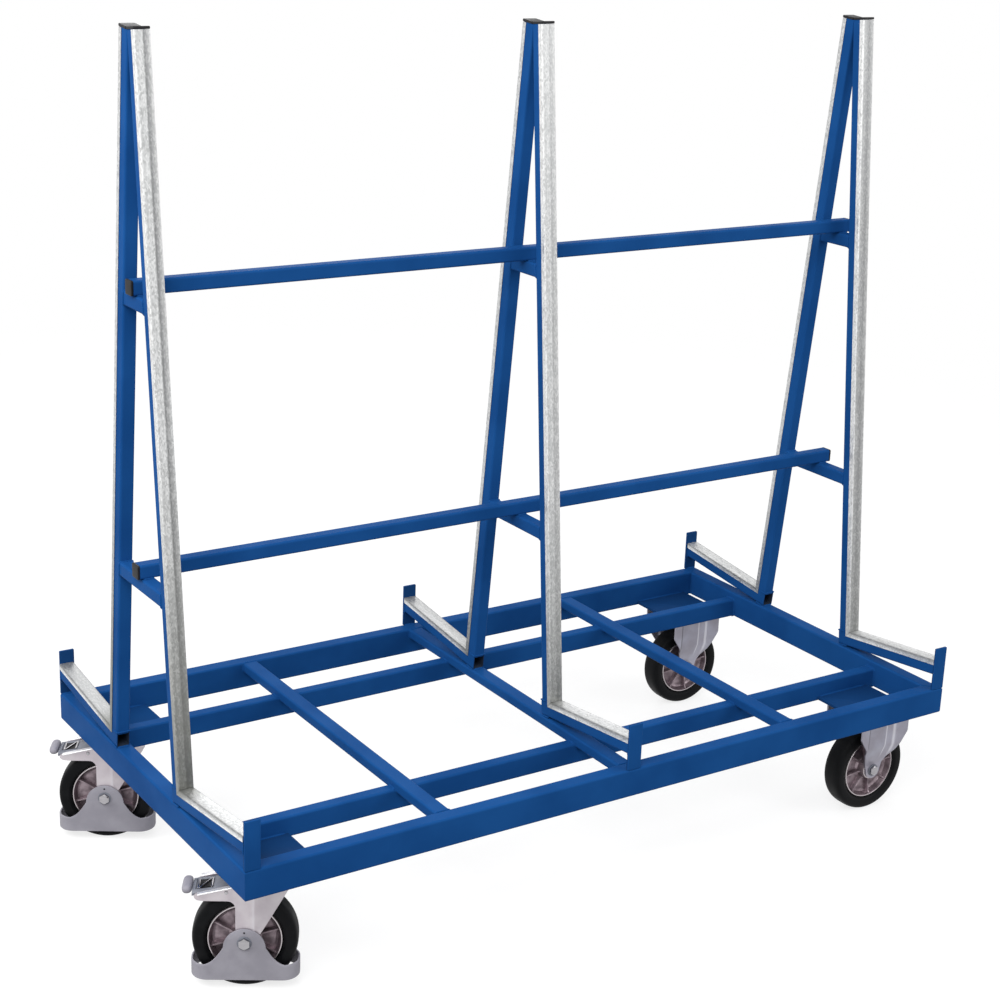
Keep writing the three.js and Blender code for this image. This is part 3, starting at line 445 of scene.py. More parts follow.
class Finish:
    """A material, or the world's light, and the nodes that vary it."""

    def __init__(self, name, store=bpy.data.materials):
        self.material = store.new(name)
        self.material.use_nodes = True
        self.tree = self.material.node_tree
        self.tree.nodes.clear()

    def node(self, kind, settings=None, inputs=None, output=0):
        """Any node: its settings first, then values or wires for its sockets, then the output wanted."""
        made = self.tree.nodes.new(kind)
        for key, value in (settings or {}).items():
            setattr(made, key, value)
        for key, value in (inputs or {}).items():
            if isinstance(value, Wire):
                self.tree.links.new(value.socket, made.inputs[key])
            else:
                made.inputs[key].default_value = value
        return Wire(self, made.outputs[output]) if output is not None else None

    def place(self):
        return self.node("ShaderNodeTexCoord", output="Object")

    def laid(self):
        return self.node("ShaderNodeAttribute", {"attribute_name": "run"}, output="Vector")

    def stretched(self, vector, scale):
        return self.node("ShaderNodeMapping", inputs={"Vector": vector, "Scale": scale})

    def noise(self, vector, scale, detail=2.0):
        inputs = {"Vector": vector, "Scale": scale, "Detail": detail}
        return self.node("ShaderNodeTexNoise", inputs=inputs)

    def cloud(self, scale):
        """Slow clouds of tone, from 0 to 1."""
        return self.ranged(self.noise(self.place(), scale, 3.0), *CLOUD_SPAN)

    def grain(self, scale):
        return self.noise(self.place(), scale)

    def ranged(self, value, low, high, to_low=0.0, to_high=1.0):
        """The value from low to high carried smoothly to another range."""
        settings = {"interpolation_type": "SMOOTHSTEP"}
        inputs = {0: value, 1: low, 2: high, 3: to_low, 4: to_high}
        return self.node("ShaderNodeMapRange", settings, inputs)

    def blend(self, amount, first, second):
        return self.node("ShaderNodeMix", {"data_type": "RGBA"}, {0: amount, 6: first, 7: second}, 2)

    def bump(self, height, strength, distance):
        inputs = {"Height": height, "Strength": strength, "Distance": distance}
        return self.node("ShaderNodeBump", inputs=inputs)

    def number(self, name):
        """A number that every point of a piece carries."""
        return self.node("ShaderNodeAttribute", {"attribute_name": name}, output="Fac")

    def part(self, vector, axis):
        return self.node("ShaderNodeSeparateXYZ", inputs={"Vector": vector}, output=axis)

    def surface(self, **inputs):
        named = {key.replace("_", " "): value for key, value in inputs.items()}
        shader = self.node("ShaderNodeBsdfPrincipled", inputs=named)
        self.node_output(shader)
        return self.material

    def node_output(self, shader, kind="ShaderNodeOutputMaterial"):
        self.node(kind, inputs={"Surface": shader}, output=None)


def srgb(red, green, blue):
    """A colour as a screen shows it, from 0 to 255, turned to the light it stands for."""
    level = np.array([red, green, blue]) / 255
    linear = np.where(level <= 0.04045, level / 12.92, ((level + 0.055) / 1.055) ** 2.4)
    return (*linear.tolist(), 1.0)


# %% [markdown]
# ## Blue powder coat
# The frame is steel with a baked powder coat. Powder melts into a slightly wavy skin, so its gloss is
# soft and its reflections wander. A fine noise as bump gives that skin, and a broad faint noise keeps
# long tubes from looking like one flat blue. Shade is painted into the coat as a darker blue on the
# castor pads and on the inner faces of the stop plates.

# %% Blue powder coat
PAINT = srgb(27, 78, 139)
PAINT_DEEP = srgb(22, 69, 127)
# A darker blue that is painted shade on the pads and on the inner faces of the stops.
PAINTED_SHADE_BLUE = srgb(22, 57, 102)
BARE = srgb(44, 52, 66)
PAINTED_SHADE_RANGE = 0.5
BARE_SPAN = (0.7 * MM, MM)


def with_painted_shade(shell, share):
    """The same surface with shade painted into its blue coat, by a share from 0 to 1."""
    shell.run[:, 2] = PAINTED_SHADE_RANGE * share
    return shell


def powder_coat():
    """Blue that wanders a little between two depths under a fine orange-peel skin, darker where shade is
    painted into it, and no paint inside a tube."""
    finish = Finish("blue_powder_coat")
    cloud = finish.cloud(7.0)
    wave = finish.noise(finish.place(), 60.0, 1.0)
    bare_or_shaded = finish.part(finish.laid(), 2)
    # Painted shade: a third run number up to the range darkens the blue.
    painted_shade_share = finish.ranged(bare_or_shaded, 0.0, PAINTED_SHADE_RANGE * MM)
    inside = finish.ranged(bare_or_shaded, *BARE_SPAN)
    coat = finish.blend(painted_shade_share, finish.blend(cloud, PAINT, PAINT_DEEP), PAINTED_SHADE_BLUE)
    return finish.surface(
        Base_Color=finish.blend(inside, coat, BARE),
        Roughness=0.3 + 0.1 * cloud,
        Specular_IOR_Level=0.007,
        Normal=finish.bump(finish.grain(330.0) + 1.5 * wave, 0.12, 0.0006),
    )


blue = powder_coat()
print("finish:", blue.name)

# %% [markdown]
# ## Galvanised sheet
# The contact strips are folded from hot-dip galvanised sheet. The zinc freezes in small spangles that
# each reflect a little differently, and rolling leaves faint lines along the strip. The zinc is darker
# towards the foot, and shade and light are painted across the fold: painted shade on one side of the
# crown, painted highlights on the other side, on the bends and on the lips. A cell pattern that
# follows the run gives the spangles, a stretched noise gives the lines, and two numbers on the points
# give the rest.

# %% Galvanised sheet
# Pairs of zinc tones: the second of each pair is painted shade across the fold.
BRIGHT = srgb(230, 231, 231)
GALVANISED_PAINTED_SHADE = srgb(123, 124, 125)
NEAR_FOOT = srgb(132, 133, 129)
NEAR_FOOT_PAINTED_SHADE = srgb(108, 109, 105)
FLECK_LIGHT = srgb(246, 246, 245)
FLECK_DARK = srgb(92, 93, 92)


def galvanised_sheet():
    """Zinc that is darker towards the foot and brighter away from it, with painted shade and painted
    light across the fold where points say so, and fine spangles and lines along the run of the sheet as
    light and dark flecks over it."""
    finish = Finish("galvanised_sheet")
    run = finish.laid()
    away = finish.ranged(finish.number("away"), 0.0, 1.0)
    painted_shade = finish.number("painted_shade")
    cells = finish.stretched(run, (480.0, 240.0, 1.0))
    inputs = {"Vector": cells, "Scale": 1.0}
    spangle = finish.node("ShaderNodeTexVoronoi", {"feature": "F1"}, inputs, "Color")
    grey = finish.part(spangle, 0)
    lines = finish.noise(finish.stretched(run, (300.0, 6.0, 1.0)), 1.0, 3.0)
    patches = finish.noise(finish.stretched(run, (90.0, 30.0, 1.0)), 1.0, 4.0)
    mix = 0.5 * grey + 0.25 * patches + 0.35 * lines
    clear = 1 - 0.75 * painted_shade
    # Painted shade across the fold; where its share is low the zinc keeps painted light.
    near_foot = finish.blend(painted_shade, NEAR_FOOT, NEAR_FOOT_PAINTED_SHADE)
    far_from_foot = finish.blend(painted_shade, BRIGHT, GALVANISED_PAINTED_SHADE)
    tone = finish.blend(away, near_foot, far_from_foot)
    light = finish.ranged(mix, 0.5, 0.8) * clear * (0.1 + 0.4 * away)
    dark = finish.ranged(mix, 0.25, 0.55, 0.4, 0.0) * clear
    tone = finish.blend(dark, finish.blend(light, tone, FLECK_LIGHT), FLECK_DARK)
    return finish.surface(
        Base_Color=tone,
        Metallic=0.7,
        Roughness=0.36 + 0.18 * grey,
        Normal=finish.bump(grey + lines, 0.08, 0.0003),
    )


galvanised = galvanised_sheet()
print("finish:", galvanised.name)

# %% [markdown]
# ## Plated, cast, moulded and rubber finishes
# Castor steel is zinc plated, with a satin shine and a faint warm tint. Shade is painted where a sheet
# is pressed in, highlights are painted along the creases that stand out, and a whiter zinc paints a
# highlight on the fork's lips. Rims are cast aluminium, grainy between the ribs and turned bright on the
# lip. Caps, guards and the dark pedals share one fine-textured finish in their own colours, and the
# tyres are black rubber with a little dust.

# %% Castor finishes
# Painted shade and painted highlight colours for the pressed castor sheet.
PLATE_PAINTED_SHADE = srgb(88, 86, 94)
PLATE_PAINTED_HIGHLIGHT = srgb(240, 240, 246)


def zinc_plate(name, light, warm, metal=0.7, gloss=0.32):
    """Satin zinc with slow warm clouds and a fine brushed grain, with painted shade or a painted
    highlight where points say so.
    """
    finish = Finish(name)
    cloud = finish.cloud(26.0)
    # Painted shade and painted highlight where the points' numbers say so.
    tone = finish.blend(finish.number("painted_shade"), finish.blend(cloud, light, warm), PLATE_PAINTED_SHADE)
    return finish.surface(
        Base_Color=finish.blend(finish.number("bright"), tone, PLATE_PAINTED_HIGHLIGHT),
        Metallic=metal,
        Roughness=gloss + 0.12 * cloud,
        Normal=finish.bump(finish.grain(900.0), 0.06, 0.0003),
    )


CAST = srgb(152, 138, 144)
CAST_DEEP = srgb(106, 94, 100)
TURNED = srgb(190, 183, 185)


def cast_aluminium():
    """Grainy casting that turns bright where the lathe has cut the lip and the hub end."""
    finish = Finish("cast_aluminium")
    shine = finish.number("turned")
    cloud = finish.cloud(60.0)
    casting = finish.blend(cloud, CAST, CAST_DEEP)
    return finish.surface(
        Base_Color=finish.blend(shine, casting, TURNED),
        Metallic=0.8,
        Roughness=0.36 + 0.1 * cloud - 0.14 * shine,
        Normal=finish.bump(finish.grain(700.0), 0.1, 0.0004),
    )


def moulded(name, light, dark, roughness):
    """A fine spark-eroded texture and slow clouds of tone, as on plastic and on the coated pedal."""
    finish = Finish(name)
    cloud = finish.cloud(30.0)
    return finish.surface(
        Base_Color=finish.blend(cloud, light, dark),
        Roughness=roughness + 0.08 * cloud,
        Specular_IOR_Level=0.2,
        Normal=finish.bump(finish.grain(1100.0), 0.1, 0.0003),
    )


RUBBER = srgb(9, 10, 12)
RUBBER_DUST = srgb(28, 28, 30)


def tyre_rubber():
    """Black rubber, with dust in broad patches and fine lines round the wheel."""
    finish = Finish("tyre_rubber")
    patches = finish.ranged(finish.noise(finish.place(), 38.0, 4.0), 0.45, 0.75)
    lines = finish.noise(finish.stretched(finish.laid(), (3.0, 400.0, 400.0)), 1.0)
    return finish.surface(
        Base_Color=finish.blend(0.6 * patches, RUBBER, RUBBER_DUST),
        Roughness=0.5 + 0.2 * patches,
        Specular_IOR_Level=0.09,
        Normal=finish.bump(lines, 0.08, 0.0004),
    )


zinc = zinc_plate("fork_zinc", srgb(200, 194, 198), srgb(186, 178, 184))
bracket_zinc = zinc_plate("bracket_zinc", srgb(162, 162, 176), srgb(152, 149, 160))
bolt_zinc = zinc_plate("bolt_zinc", srgb(178, 176, 179), srgb(158, 156, 160), 0.95, 0.08)
# A whiter copy of the fork zinc: a painted highlight along the fork's lips.
lip_highlight_zinc = zinc_plate("lip_highlight_zinc", srgb(242, 242, 244), srgb(232, 231, 234))
aluminium = cast_aluminium()
black_plastic = moulded("black_plastic", srgb(17, 17, 19), srgb(26, 26, 28), 0.42)
grey_plastic = moulded("grey_plastic", srgb(156, 154, 163), srgb(146, 144, 153), 0.5)
pedal_steel = moulded("pedal_steel", srgb(128, 131, 140), srgb(108, 111, 121), 0.35)
rubber = tyre_rubber()
print("finishes:", [made.name for made in bpy.data.materials])

# %% [markdown]
# ## The base
# Four rails of oblong tube are mitred and welded into a rectangle. Two inner rails carry the castor
# pads, and three flat cross bars lie over them. A tube could be a beveled cube, but a section cut by
# planes gives true mitres and even round corners.

# %% Rails
BASE_LENGTH = 1520.0
BASE_WIDTH = 790.0
BASE_BOTTOM = 222.0
BASE_TOP = 272.0
RAIL_WIDTH = 30.0
RAIL_LOW = BASE_BOTTOM - 3.0
RAIL_Z = (RAIL_LOW + BASE_TOP) / 2
TUBE_CORNER = 4.0
BITE = 0.2
RAIL = rounded(RAIL_WIDTH, BASE_TOP - RAIL_LOW, TUBE_CORNER)
SIDES = {"front": -1, "rear": 1}
ENDS = {"left": -1, "right": 1}


def painted(node, kind, shells):
    """A piece of the welded frame in blue paint, in the place of one solid."""
    piece(f"{node}_{kind}", "cart_frame", blue, shells, [node])


def mitre(end, side):
    """The upright plane through a corner of the base, at 45 degrees to both rails."""
    corner = np.array([end * BASE_LENGTH / 2, side * BASE_WIDTH / 2, 0.0])
    return corner, np.array([side, -end, 0.0]) / math.sqrt(2)


for side_name, side in SIDES.items():
    middle = np.array([0.0, side * (BASE_WIDTH - RAIL_WIDTH) / 2, RAIL_Z])
    planes = [mitre(-1, side), mitre(1, side)]
    tube = carried(RAIL, middle, AXIS_Y, AXIS_Z, AXIS_X, planes)
    painted(f"{side_name}_rail", "tube", [tube])

for end_name, end in ENDS.items():
    middle = np.array([end * (BASE_LENGTH - RAIL_WIDTH) / 2, 0.0, RAIL_Z])
    planes = [mitre(end, -1), mitre(end, 1)]
    tube = carried(RAIL, middle, AXIS_X, AXIS_Z, AXIS_Y, planes)
    painted(f"{end_name}_end_rail", "tube", [tube])

# %% Inner rails, pads and cross bars
INNER_RAIL_WIDTH = 25.0
INNER_RAIL_Y = 222.5
INNER_RAIL_HIGH = BASE_BOTTOM + 36.0
INNER_RAIL_Z = (RAIL_LOW + INNER_RAIL_HIGH) / 2
INNER_RAIL = rounded(INNER_RAIL_WIDTH, INNER_RAIL_HIGH - RAIL_LOW, TUBE_CORNER)
INNER_FACE = INNER_RAIL_Y + INNER_RAIL_WIDTH / 2
PAD_TOP = BASE_BOTTOM + 6.0
PAD_BITE = 1.0
PAD_SPANS = ((-726.0, -602.0), (580.0, 712.0))
# Painted shade on each castor pad, as a share for each pad.
PAD_PAINTED_SHADE = {"front": (1.0, 0.7), "rear": (0.5, 0.8)}
CROSS_BAR_WIDTH = 30.0
CROSS_BAR_HEIGHT = 19.7
CROSS_BAR_Z = BASE_TOP - CROSS_BAR_HEIGHT / 2
CROSS_BAR = rounded(CROSS_BAR_WIDTH, CROSS_BAR_HEIGHT, TUBE_CORNER)
CROSS_BARS = {"left": -380.0, "centre": 0.0, "right": 380.0}
INSIDE_X = BASE_LENGTH / 2 - RAIL_WIDTH
INSIDE_Y = BASE_WIDTH / 2 - RAIL_WIDTH


def level_tube(section, middle, along, half):
    """A level tube, cut square at one distance on both sides of the cart's middle."""
    across = np.abs(np.cross(along, AXIS_Z))
    planes = [(along * -half, along), (along * half, along)]
    return carried(section, np.asarray(middle), across, AXIS_Z, along, planes)


for side_name, side in SIDES.items():
    middle = (0.0, side * INNER_RAIL_Y, INNER_RAIL_Z)
    shells = [level_tube(INNER_RAIL, middle, AXIS_X, INSIDE_X + BITE)]
    near, far = sorted((side * (INNER_FACE - PAD_BITE), side * (INSIDE_Y + BITE)))
    for (left, right), painted_shade_share in zip(PAD_SPANS, PAD_PAINTED_SHADE[side_name]):
        pad = plate(oblong(left, right, near, far), BASE_BOTTOM, PAD_TOP)
        shells.append(with_painted_shade(pad, painted_shade_share))
    painted(f"{side_name}_inner_rail", "tube", shells)

for bar_name, bar_x in CROSS_BARS.items():
    tube = level_tube(CROSS_BAR, (bar_x, 0.0, CROSS_BAR_Z), AXIS_Y, INSIDE_Y + BITE)
    painted(f"{bar_name}_cross_bar", "tube", [tube])

# %% Welds of the base
MITRE_BEAD = 1.2
MITRE_INSET = 1.0
MITRE_LEVEL = BASE_TOP - 0.5
BAR_BEAD = 1.6
BAR_BEAD_HALF = 11.0
BAR_BEAD_DROP = 0.4
PAD_BEAD = 2.0
PAD_BEAD_INSET = 6.0

base_welds = []
for side in SIDES.values():
    for end in ENDS.values():
        corner_x = end * (BASE_LENGTH / 2 - MITRE_INSET)
        corner_y = side * (BASE_WIDTH / 2 - MITRE_INSET)
        outer = (corner_x, corner_y, MITRE_LEVEL)
        inner = (end * INSIDE_X, side * INSIDE_Y, MITRE_LEVEL)
        base_welds.append(level_bead(outer, inner, MITRE_BEAD))
        joint = (end * INSIDE_X, side * INNER_RAIL_Y, INNER_RAIL_Z)
        base_welds.append(loop_bead(INNER_RAIL, joint, AXIS_Y, AXIS_X))
    for bar_x in CROSS_BARS.values():
        joint = (bar_x, side * INSIDE_Y, CROSS_BAR_Z - BAR_BEAD_DROP)
        base_welds.append(loop_bead(CROSS_BAR, joint, AXIS_X, AXIS_Y))
        for edge in (-1, 1):
            x = bar_x + edge * CROSS_BAR_WIDTH / 2
            start = (x, side * (INNER_RAIL_Y - BAR_BEAD_HALF), INNER_RAIL_HIGH)
            stop = (x, side * (INNER_RAIL_Y + BAR_BEAD_HALF), INNER_RAIL_HIGH)
            base_welds.append(level_bead(start, stop, BAR_BEAD))
    for left, right in PAD_SPANS:
        for y in (INNER_FACE, INSIDE_Y):
            start = (left + PAD_BEAD_INSET, side * y, PAD_TOP)
            stop = (right - PAD_BEAD_INSET, side * y, PAD_TOP)
            base_welds.append(level_bead(start, stop, PAD_BEAD))
piece("base_weld_beads", "cart_frame", blue, base_welds)

# %% [markdown]
# ## The A-frames
# Each A-frame is one weldment: two leaning legs that meet at the top, two ties between them, and two
# arms that rise a little towards the stop plates, so that sheets lean back on the legs. The arms are
# open at their inner ends, and that dark hole shows, so they are the tubes that are made hollow.

# %% The A-frame's own lines
FOOT_Z = BASE_TOP + 0.3
FOOT_GAP = 242.6
APEX_RISE = 1236.7
LEG_WIDTH = 25.0
LEG_DEPTH = 30.0
LEG_TOP = 17.0
ARM_DEPTH = 30.0
ARM_RISE = math.radians(6.3)
TIE = 25.0
TIE_RISES = (336.7, 816.7)
FRAMES = {"left": -747.5, "centre": 0.0, "right": 747.5}
STOP_SHIFT = {"left": 1.5, "centre": 0.0, "right": -1.5}
lean = math.atan(FOOT_GAP / 2 / APEX_RISE)
apex = np.array([0.0, 0.0, FOOT_Z + APEX_RISE])
foot = np.array([0.0, -FOOT_GAP / 2, FOOT_Z])
leg_up = np.array([0.0, math.sin(lean), math.cos(lean)])
leg_out = np.array([0.0, -math.cos(lean), math.sin(lean)])
arm_out = np.array([0.0, -math.cos(ARM_RISE), math.sin(ARM_RISE)])
arm_up = np.array([0.0, math.sin(ARM_RISE), math.cos(ARM_RISE)])
print("the legs lean", round(math.degrees(lean), 2), "degrees")


def in_frame(shells, frame_x, side):
    """Shells drawn at the front of an A-frame, put on one side of the frame at its place."""
    return [shell.turned(0.0 if side < 0 else math.pi).moved(frame_x) for shell in shells]


# %% Legs, arms, ties and stops
LEG_SINK = 4.0
FLUSH = 0.2
ARM_WALL = 2.0
STOP_WIDTH = 28.0
STOP_THICKNESS = 5.0
STOP_HEIGHT = 86.0
STOP_CORNER = 1.5
STOP_EDGE = 0.7
# Painted shade on a stop plate's inner face.
STOP_PAINTED_SHADE = 0.9
STOP_INSIDE = BASE_WIDTH / 2 - STOP_THICKNESS
MIDDLE_GAP = 0.05


def leg():
    """A leg from inside the arm's top to the head, where both legs are cut along the middle plane."""
    section = rounded(LEG_WIDTH - FLUSH, LEG_DEPTH, TUBE_CORNER)
    planes = [
        (foot + arm_up * (ARM_DEPTH - LEG_SINK), arm_up),
        (apex, leg_up),
        (apex + leg_up * LEG_TOP, leg_up),
    ]
    made = carried(section, apex + leg_out * LEG_DEPTH / 2, AXIS_X, leg_out, leg_up, planes)
    made.points[:, 1] = np.minimum(made.points[:, 1], -MIDDLE_GAP)
    return made


def arm():
    """A hollow arm, cut square at its inner end and upright inside the stop plate."""
    section = rounded(LEG_WIDTH, ARM_DEPTH, TUBE_CORNER)
    bore = rounded(LEG_WIDTH - 2 * ARM_WALL, ARM_DEPTH - 2 * ARM_WALL, TUBE_CORNER - ARM_WALL)
    stop = AXIS_Y * -(STOP_INSIDE + STOP_THICKNESS / 2)
    planes = [(foot, arm_out), (stop, AXIS_Y)]
    return carried(section, foot + arm_up * ARM_DEPTH / 2, AXIS_X, arm_up, arm_out, planes, bore)


def stop_plate(shift):
    """An upright plate at the arm's end. Its inner face carries painted shade."""
    outline = oblong(-STOP_WIDTH / 2, STOP_WIDTH / 2, -BITE, STOP_HEIGHT, STOP_CORNER)
    flat = plate(outline, 0.0, STOP_THICKNESS, STOP_EDGE)
    flat = with_painted_shade(flat, STOP_PAINTED_SHADE * (flat.points[:, 2] < STOP_THICKNESS / 2))
    return flat.placed((shift, -STOP_INSIDE, FOOT_Z), AXIS_X, AXIS_Z, -AXIS_Y)


def tie(rise):
    """A level tube that ends inside both legs: half = (apex height - z) tan(lean) + half a leg."""
    z = BASE_TOP + rise + TIE / 2
    half = (apex[2] - z) * math.tan(lean) + LEG_DEPTH / 2
    section = rounded(TIE - 2 * FLUSH, TIE, TUBE_CORNER)
    return level_tube(section, (0.0, 0.0, z), AXIS_Y, half)


# %% Welds of an A-frame
OPEN_HALF = 16.0
LEG_BEAD = 1.6
JOINT_BEAD = 1.7
TOE_BEAD = 2.0
TOE_HALF = 11.0
HEEL_BEAD = 1.5
HEEL_REACH = 24.0
STOP_BEAD_HALF = 12.0


def half_frame_welds():
    """Beads on one side: leg on arm, arm on stop, arm and stop on the base, and both ties on the leg."""
    half = AXIS_X * LEG_WIDTH / 2
    seat = foot + arm_up * ARM_DEPTH
    slant = leg_out - arm_up * (leg_out @ arm_up)
    reach = (STOP_INSIDE + foot[1]) / math.cos(ARM_RISE)
    low = foot + arm_out * reach
    joints = ((seat, slant, arm_up, LEG_BEAD), (low, AXIS_Z, AXIS_Y, JOINT_BEAD))
    beads = []
    for corner, way, normal, radius in joints:
        end = corner + way * OPEN_HALF
        beads.append(bead([end - half, corner - half, corner + half, end + half], normal, radius))
    heel = foot + arm_out * HEEL_REACH
    beads.append(level_bead(foot - AXIS_X * TOE_HALF, foot + AXIS_X * TOE_HALF, TOE_BEAD))
    for edge in (-half, half):
        beads.append(level_bead(foot + edge, heel + edge, HEEL_BEAD))
    line = np.array([0.0, -STOP_INSIDE, FOOT_Z])
    reach = AXIS_X * STOP_BEAD_HALF
    beads.append(level_bead(line - reach, line + reach, BEAD_RADIUS))
    section = rounded(TIE, TIE, TUBE_CORNER)
    for rise in TIE_RISES:
        middle = np.array([0.0, 0.0, BASE_TOP + rise + TIE / 2])
        flat = middle + section[:, :1] * AXIS_X + section[:, 1:] * AXIS_Z
        inside = (flat - apex) @ leg_out / leg_out[1]
        beads.append(bead(flat - inside[:, None] * AXIS_Y, leg_out, JOINT_BEAD, closed=True))
    return beads


for frame_name, frame_x in FRAMES.items():
    shells = [tie(rise).moved(frame_x) for rise in TIE_RISES]
    for side in SIDES.values():
        half = [leg(), arm(), stop_plate(-side * STOP_SHIFT[frame_name]), *half_frame_welds()]
        shells += in_frame(half, frame_x, side)
    painted(f"{frame_name}_a_frame", "weldment", shells)

# %% [markdown]
# ## The contact strips
# A folded U of galvanised sheet clips over the outer face of each leg and each arm, so that sheets
# slide on metal and not on paint. Its face is slightly crowned, and the light split along the middle
# is painted into the zinc. The two strips meet in a mitre at the foot. One section, cut by the mitre
# plane, makes both. Every point then gets two numbers for the zinc: how far away from the foot it is,
# and how much painted shade it carries, where a low share is painted light.

# %% Strips
STRIP_INNER = LEG_WIDTH / 2 + 0.3
STRIP_SHEET = 1.0
STRIP_OUTER = STRIP_INNER + STRIP_SHEET
STRIP_FACE = 1.3
STRIP_FLANGE = 10.5
STRIP_CROWN = 0.6
STRIP_GAP = 0.4
STRIP_END_GAP = 0.3
STRIP_LIP = 2.2
STRIP_CREASE = 24.0


def strip_section():
    """The outside of the fold from one lip to the other, then the inside back, with round bends."""
    tip = STRIP_FACE - STRIP_FLANGE
    outside_x = np.array([STRIP_OUTER, 10.5, 1.6, 0.0, -1.6, -10.5, -STRIP_OUTER])
    outside_y = STRIP_FACE + STRIP_CROWN * (1 - np.abs(outside_x) / STRIP_OUTER)
    outside = np.stack([outside_x, outside_y], -1)
    inside_x = np.array([-STRIP_INNER, 0.0, STRIP_INNER])
    inside_y = STRIP_FACE - STRIP_SHEET + STRIP_CROWN * (1 - np.abs(inside_x) / STRIP_INNER)
    inside = np.stack([inside_x, inside_y], -1)
    lips = [(-STRIP_OUTER, tip + STRIP_LIP), (-STRIP_OUTER, tip), (-STRIP_INNER, tip)]
    corners = np.concatenate([[(STRIP_OUTER, tip), (STRIP_OUTER, tip + STRIP_LIP)], outside, lips,
                              inside, [(STRIP_INNER, tip)]])
    bends = [0.3, 0.1, 2.5, 0.4, 0.4, 1.0, 0.4, 0.4, 2.5, 0.1, 0.3, 0.3, 1.5, 0.5, 1.5, 0.3]
    return softened(corners, bends, closed=True)


def meeting(height):
    """Where lines along the leg and along the arm meet, both at one height over their tubes."""
    on_leg = apex + leg_out * (LEG_DEPTH + height)
    on_arm = foot + arm_up * (ARM_DEPTH + height)
    return on_leg + leg_up * ((on_arm - on_leg) @ arm_up / (leg_up @ arm_up))


def strip_mitre(sign):
    outer = meeting(STRIP_FACE)
    inner = meeting(STRIP_FACE - STRIP_FLANGE)
    normal = np.cross(AXIS_X, outer - inner)
    normal = normal / np.linalg.norm(normal)
    return inner + sign * normal * STRIP_GAP / 2, normal


def runs(made):
    """The run of every point of a finished piece, in millimetres."""
    run = np.zeros(len(made.data.vertices) * 3, dtype=np.float32)
    made.data.attributes["run"].data.foreach_get("vector", run)
    return run.reshape(-1, 3) / MM


def mark(made, name, values):
    """One more number on every point of a piece, for a finish to read."""
    number = made.data.attributes.new(name, "FLOAT", "POINT")
    number.data.foreach_set("value", np.asarray(values, dtype=np.float32))


# %% Strips in place
FADE = {"leg_strip": 650.0, "arm_strip": 80.0}
# Where each frame's strips start on the fade away from the darker foot tone.
AWAY_START = {"left": 0.0, "centre": 0.3, "right": 0.5}
# Shares of painted shade round the fold: low shares are painted highlights on bends, lips and the lit
# half of the face.
FACE_PLACES = STRIP_FLANGE + np.array([0.0, 2.3, 11.3, 14.4, 23.4, 26.0])
FACE_SHADE = {"left": (0.6, 1.0, 0.38, 0.45),
             "centre": (0.6, 0.76, 0.5, 0.56),
             "right": (0.72, 0.93, 0.9, 0.75)}
EDGE_SHADE = 0.45
FLANGE_SHADE = 0.2
ARM_PLACES = STRIP_FLANGE + np.array([-10.0, -8.3, -1.0, 2.3, 23.4, 26.5, 33.9, 35.8])
ARM_LIP_SHADE = (0.0, 0.1, 1.0)
FRONT_ARM_SHADE = (0.15, 0.5)
REAR_ARM_SHADE = {"left": 0.8, "centre": 0.7, "right": 0.35}
strip = strip_section()


def strip_shade_share(strip_name, frame_name, side, around):
    """The share of painted shade by the distance round the fold; a low share leaves painted light. A
    leg's
    face has four: at its right edge, on both sides of the crown and at its left edge. An arm's top has
    one at each edge, its flanges take painted shade and its lips a painted highlight."""
    if strip_name == "leg_strip":
        return np.interp(around, FACE_PLACES, (EDGE_SHADE, *FACE_SHADE[frame_name], FLANGE_SHADE))
    top = FRONT_ARM_SHADE if side < 0 else [REAR_ARM_SHADE[frame_name]] * 2
    return np.interp(around, ARM_PLACES, (*ARM_LIP_SHADE, *top, *ARM_LIP_SHADE[::-1]))


strip_stop = AXIS_Y * -(STOP_INSIDE - STRIP_END_GAP)
upper_side = np.sign((apex - meeting(0.0)) @ strip_mitre(1)[1])
leg_planes = [strip_mitre(upper_side), (apex + leg_up * (LEG_TOP - STRIP_END_GAP), leg_up)]
arm_planes = [strip_mitre(-upper_side), (strip_stop, AXIS_Y)]
leg_strip = carried(strip, apex + leg_out * LEG_DEPTH, AXIS_X, leg_out, leg_up, leg_planes)
arm_strip = carried(strip, foot + arm_up * ARM_DEPTH, AXIS_X, arm_up, arm_out, arm_planes)
for frame_name, frame_x in FRAMES.items():
    for side_name, side in SIDES.items():
        for strip_name, shell in (("leg_strip", leg_strip), ("arm_strip", arm_strip)):
            node = f"{frame_name}_{side_name}_{strip_name}"
            shells = in_frame([shell], frame_x, side)
            name = f"{node}_sheet"
            sheet = piece(name, "cart_frame", galvanised, shells, [node], STRIP_CREASE)
            around, along = runs(sheet)[:, :2].T
            # The first number fades the zinc from the darker foot tone.
            mark(sheet, "away", AWAY_START[frame_name] + (along - along.min()) / FADE[strip_name])
            # The second number is painted shade and light across the fold.
            mark(sheet, "painted_shade", strip_shade_share(strip_name, frame_name, side, around))

# %% [markdown]
# ## Bars and plastic caps
# Two square tubes lie on the ties and join the three A-frames. Their ends, and the heads of the legs,
# are closed by black plastic caps with soft edges. A cap is a plate with a round rim, stood on the
# tube's end.

# %% Bars and caps
BAR = 25.0
BAR_HALF = 763.4
BAR_GAP = 0.3
BAR_JOINT_HALF = 10.0
BAR_JOINT_INSET = 0.8
BAR_CAP = 4.3
BAR_CAP_GAP = 0.1
BAR_CAP_CORNER = 3.0
CAP_EDGE = 1.3
CAP_CORNER = 2.6
CAP_LOW = LEG_TOP + 0.3
CAP_HIGH = CAP_LOW + 4.5
CAP_WIDTH = 28.2
CAP_INSIDE = 2.3
CAP_OUTSIDE = 32.2


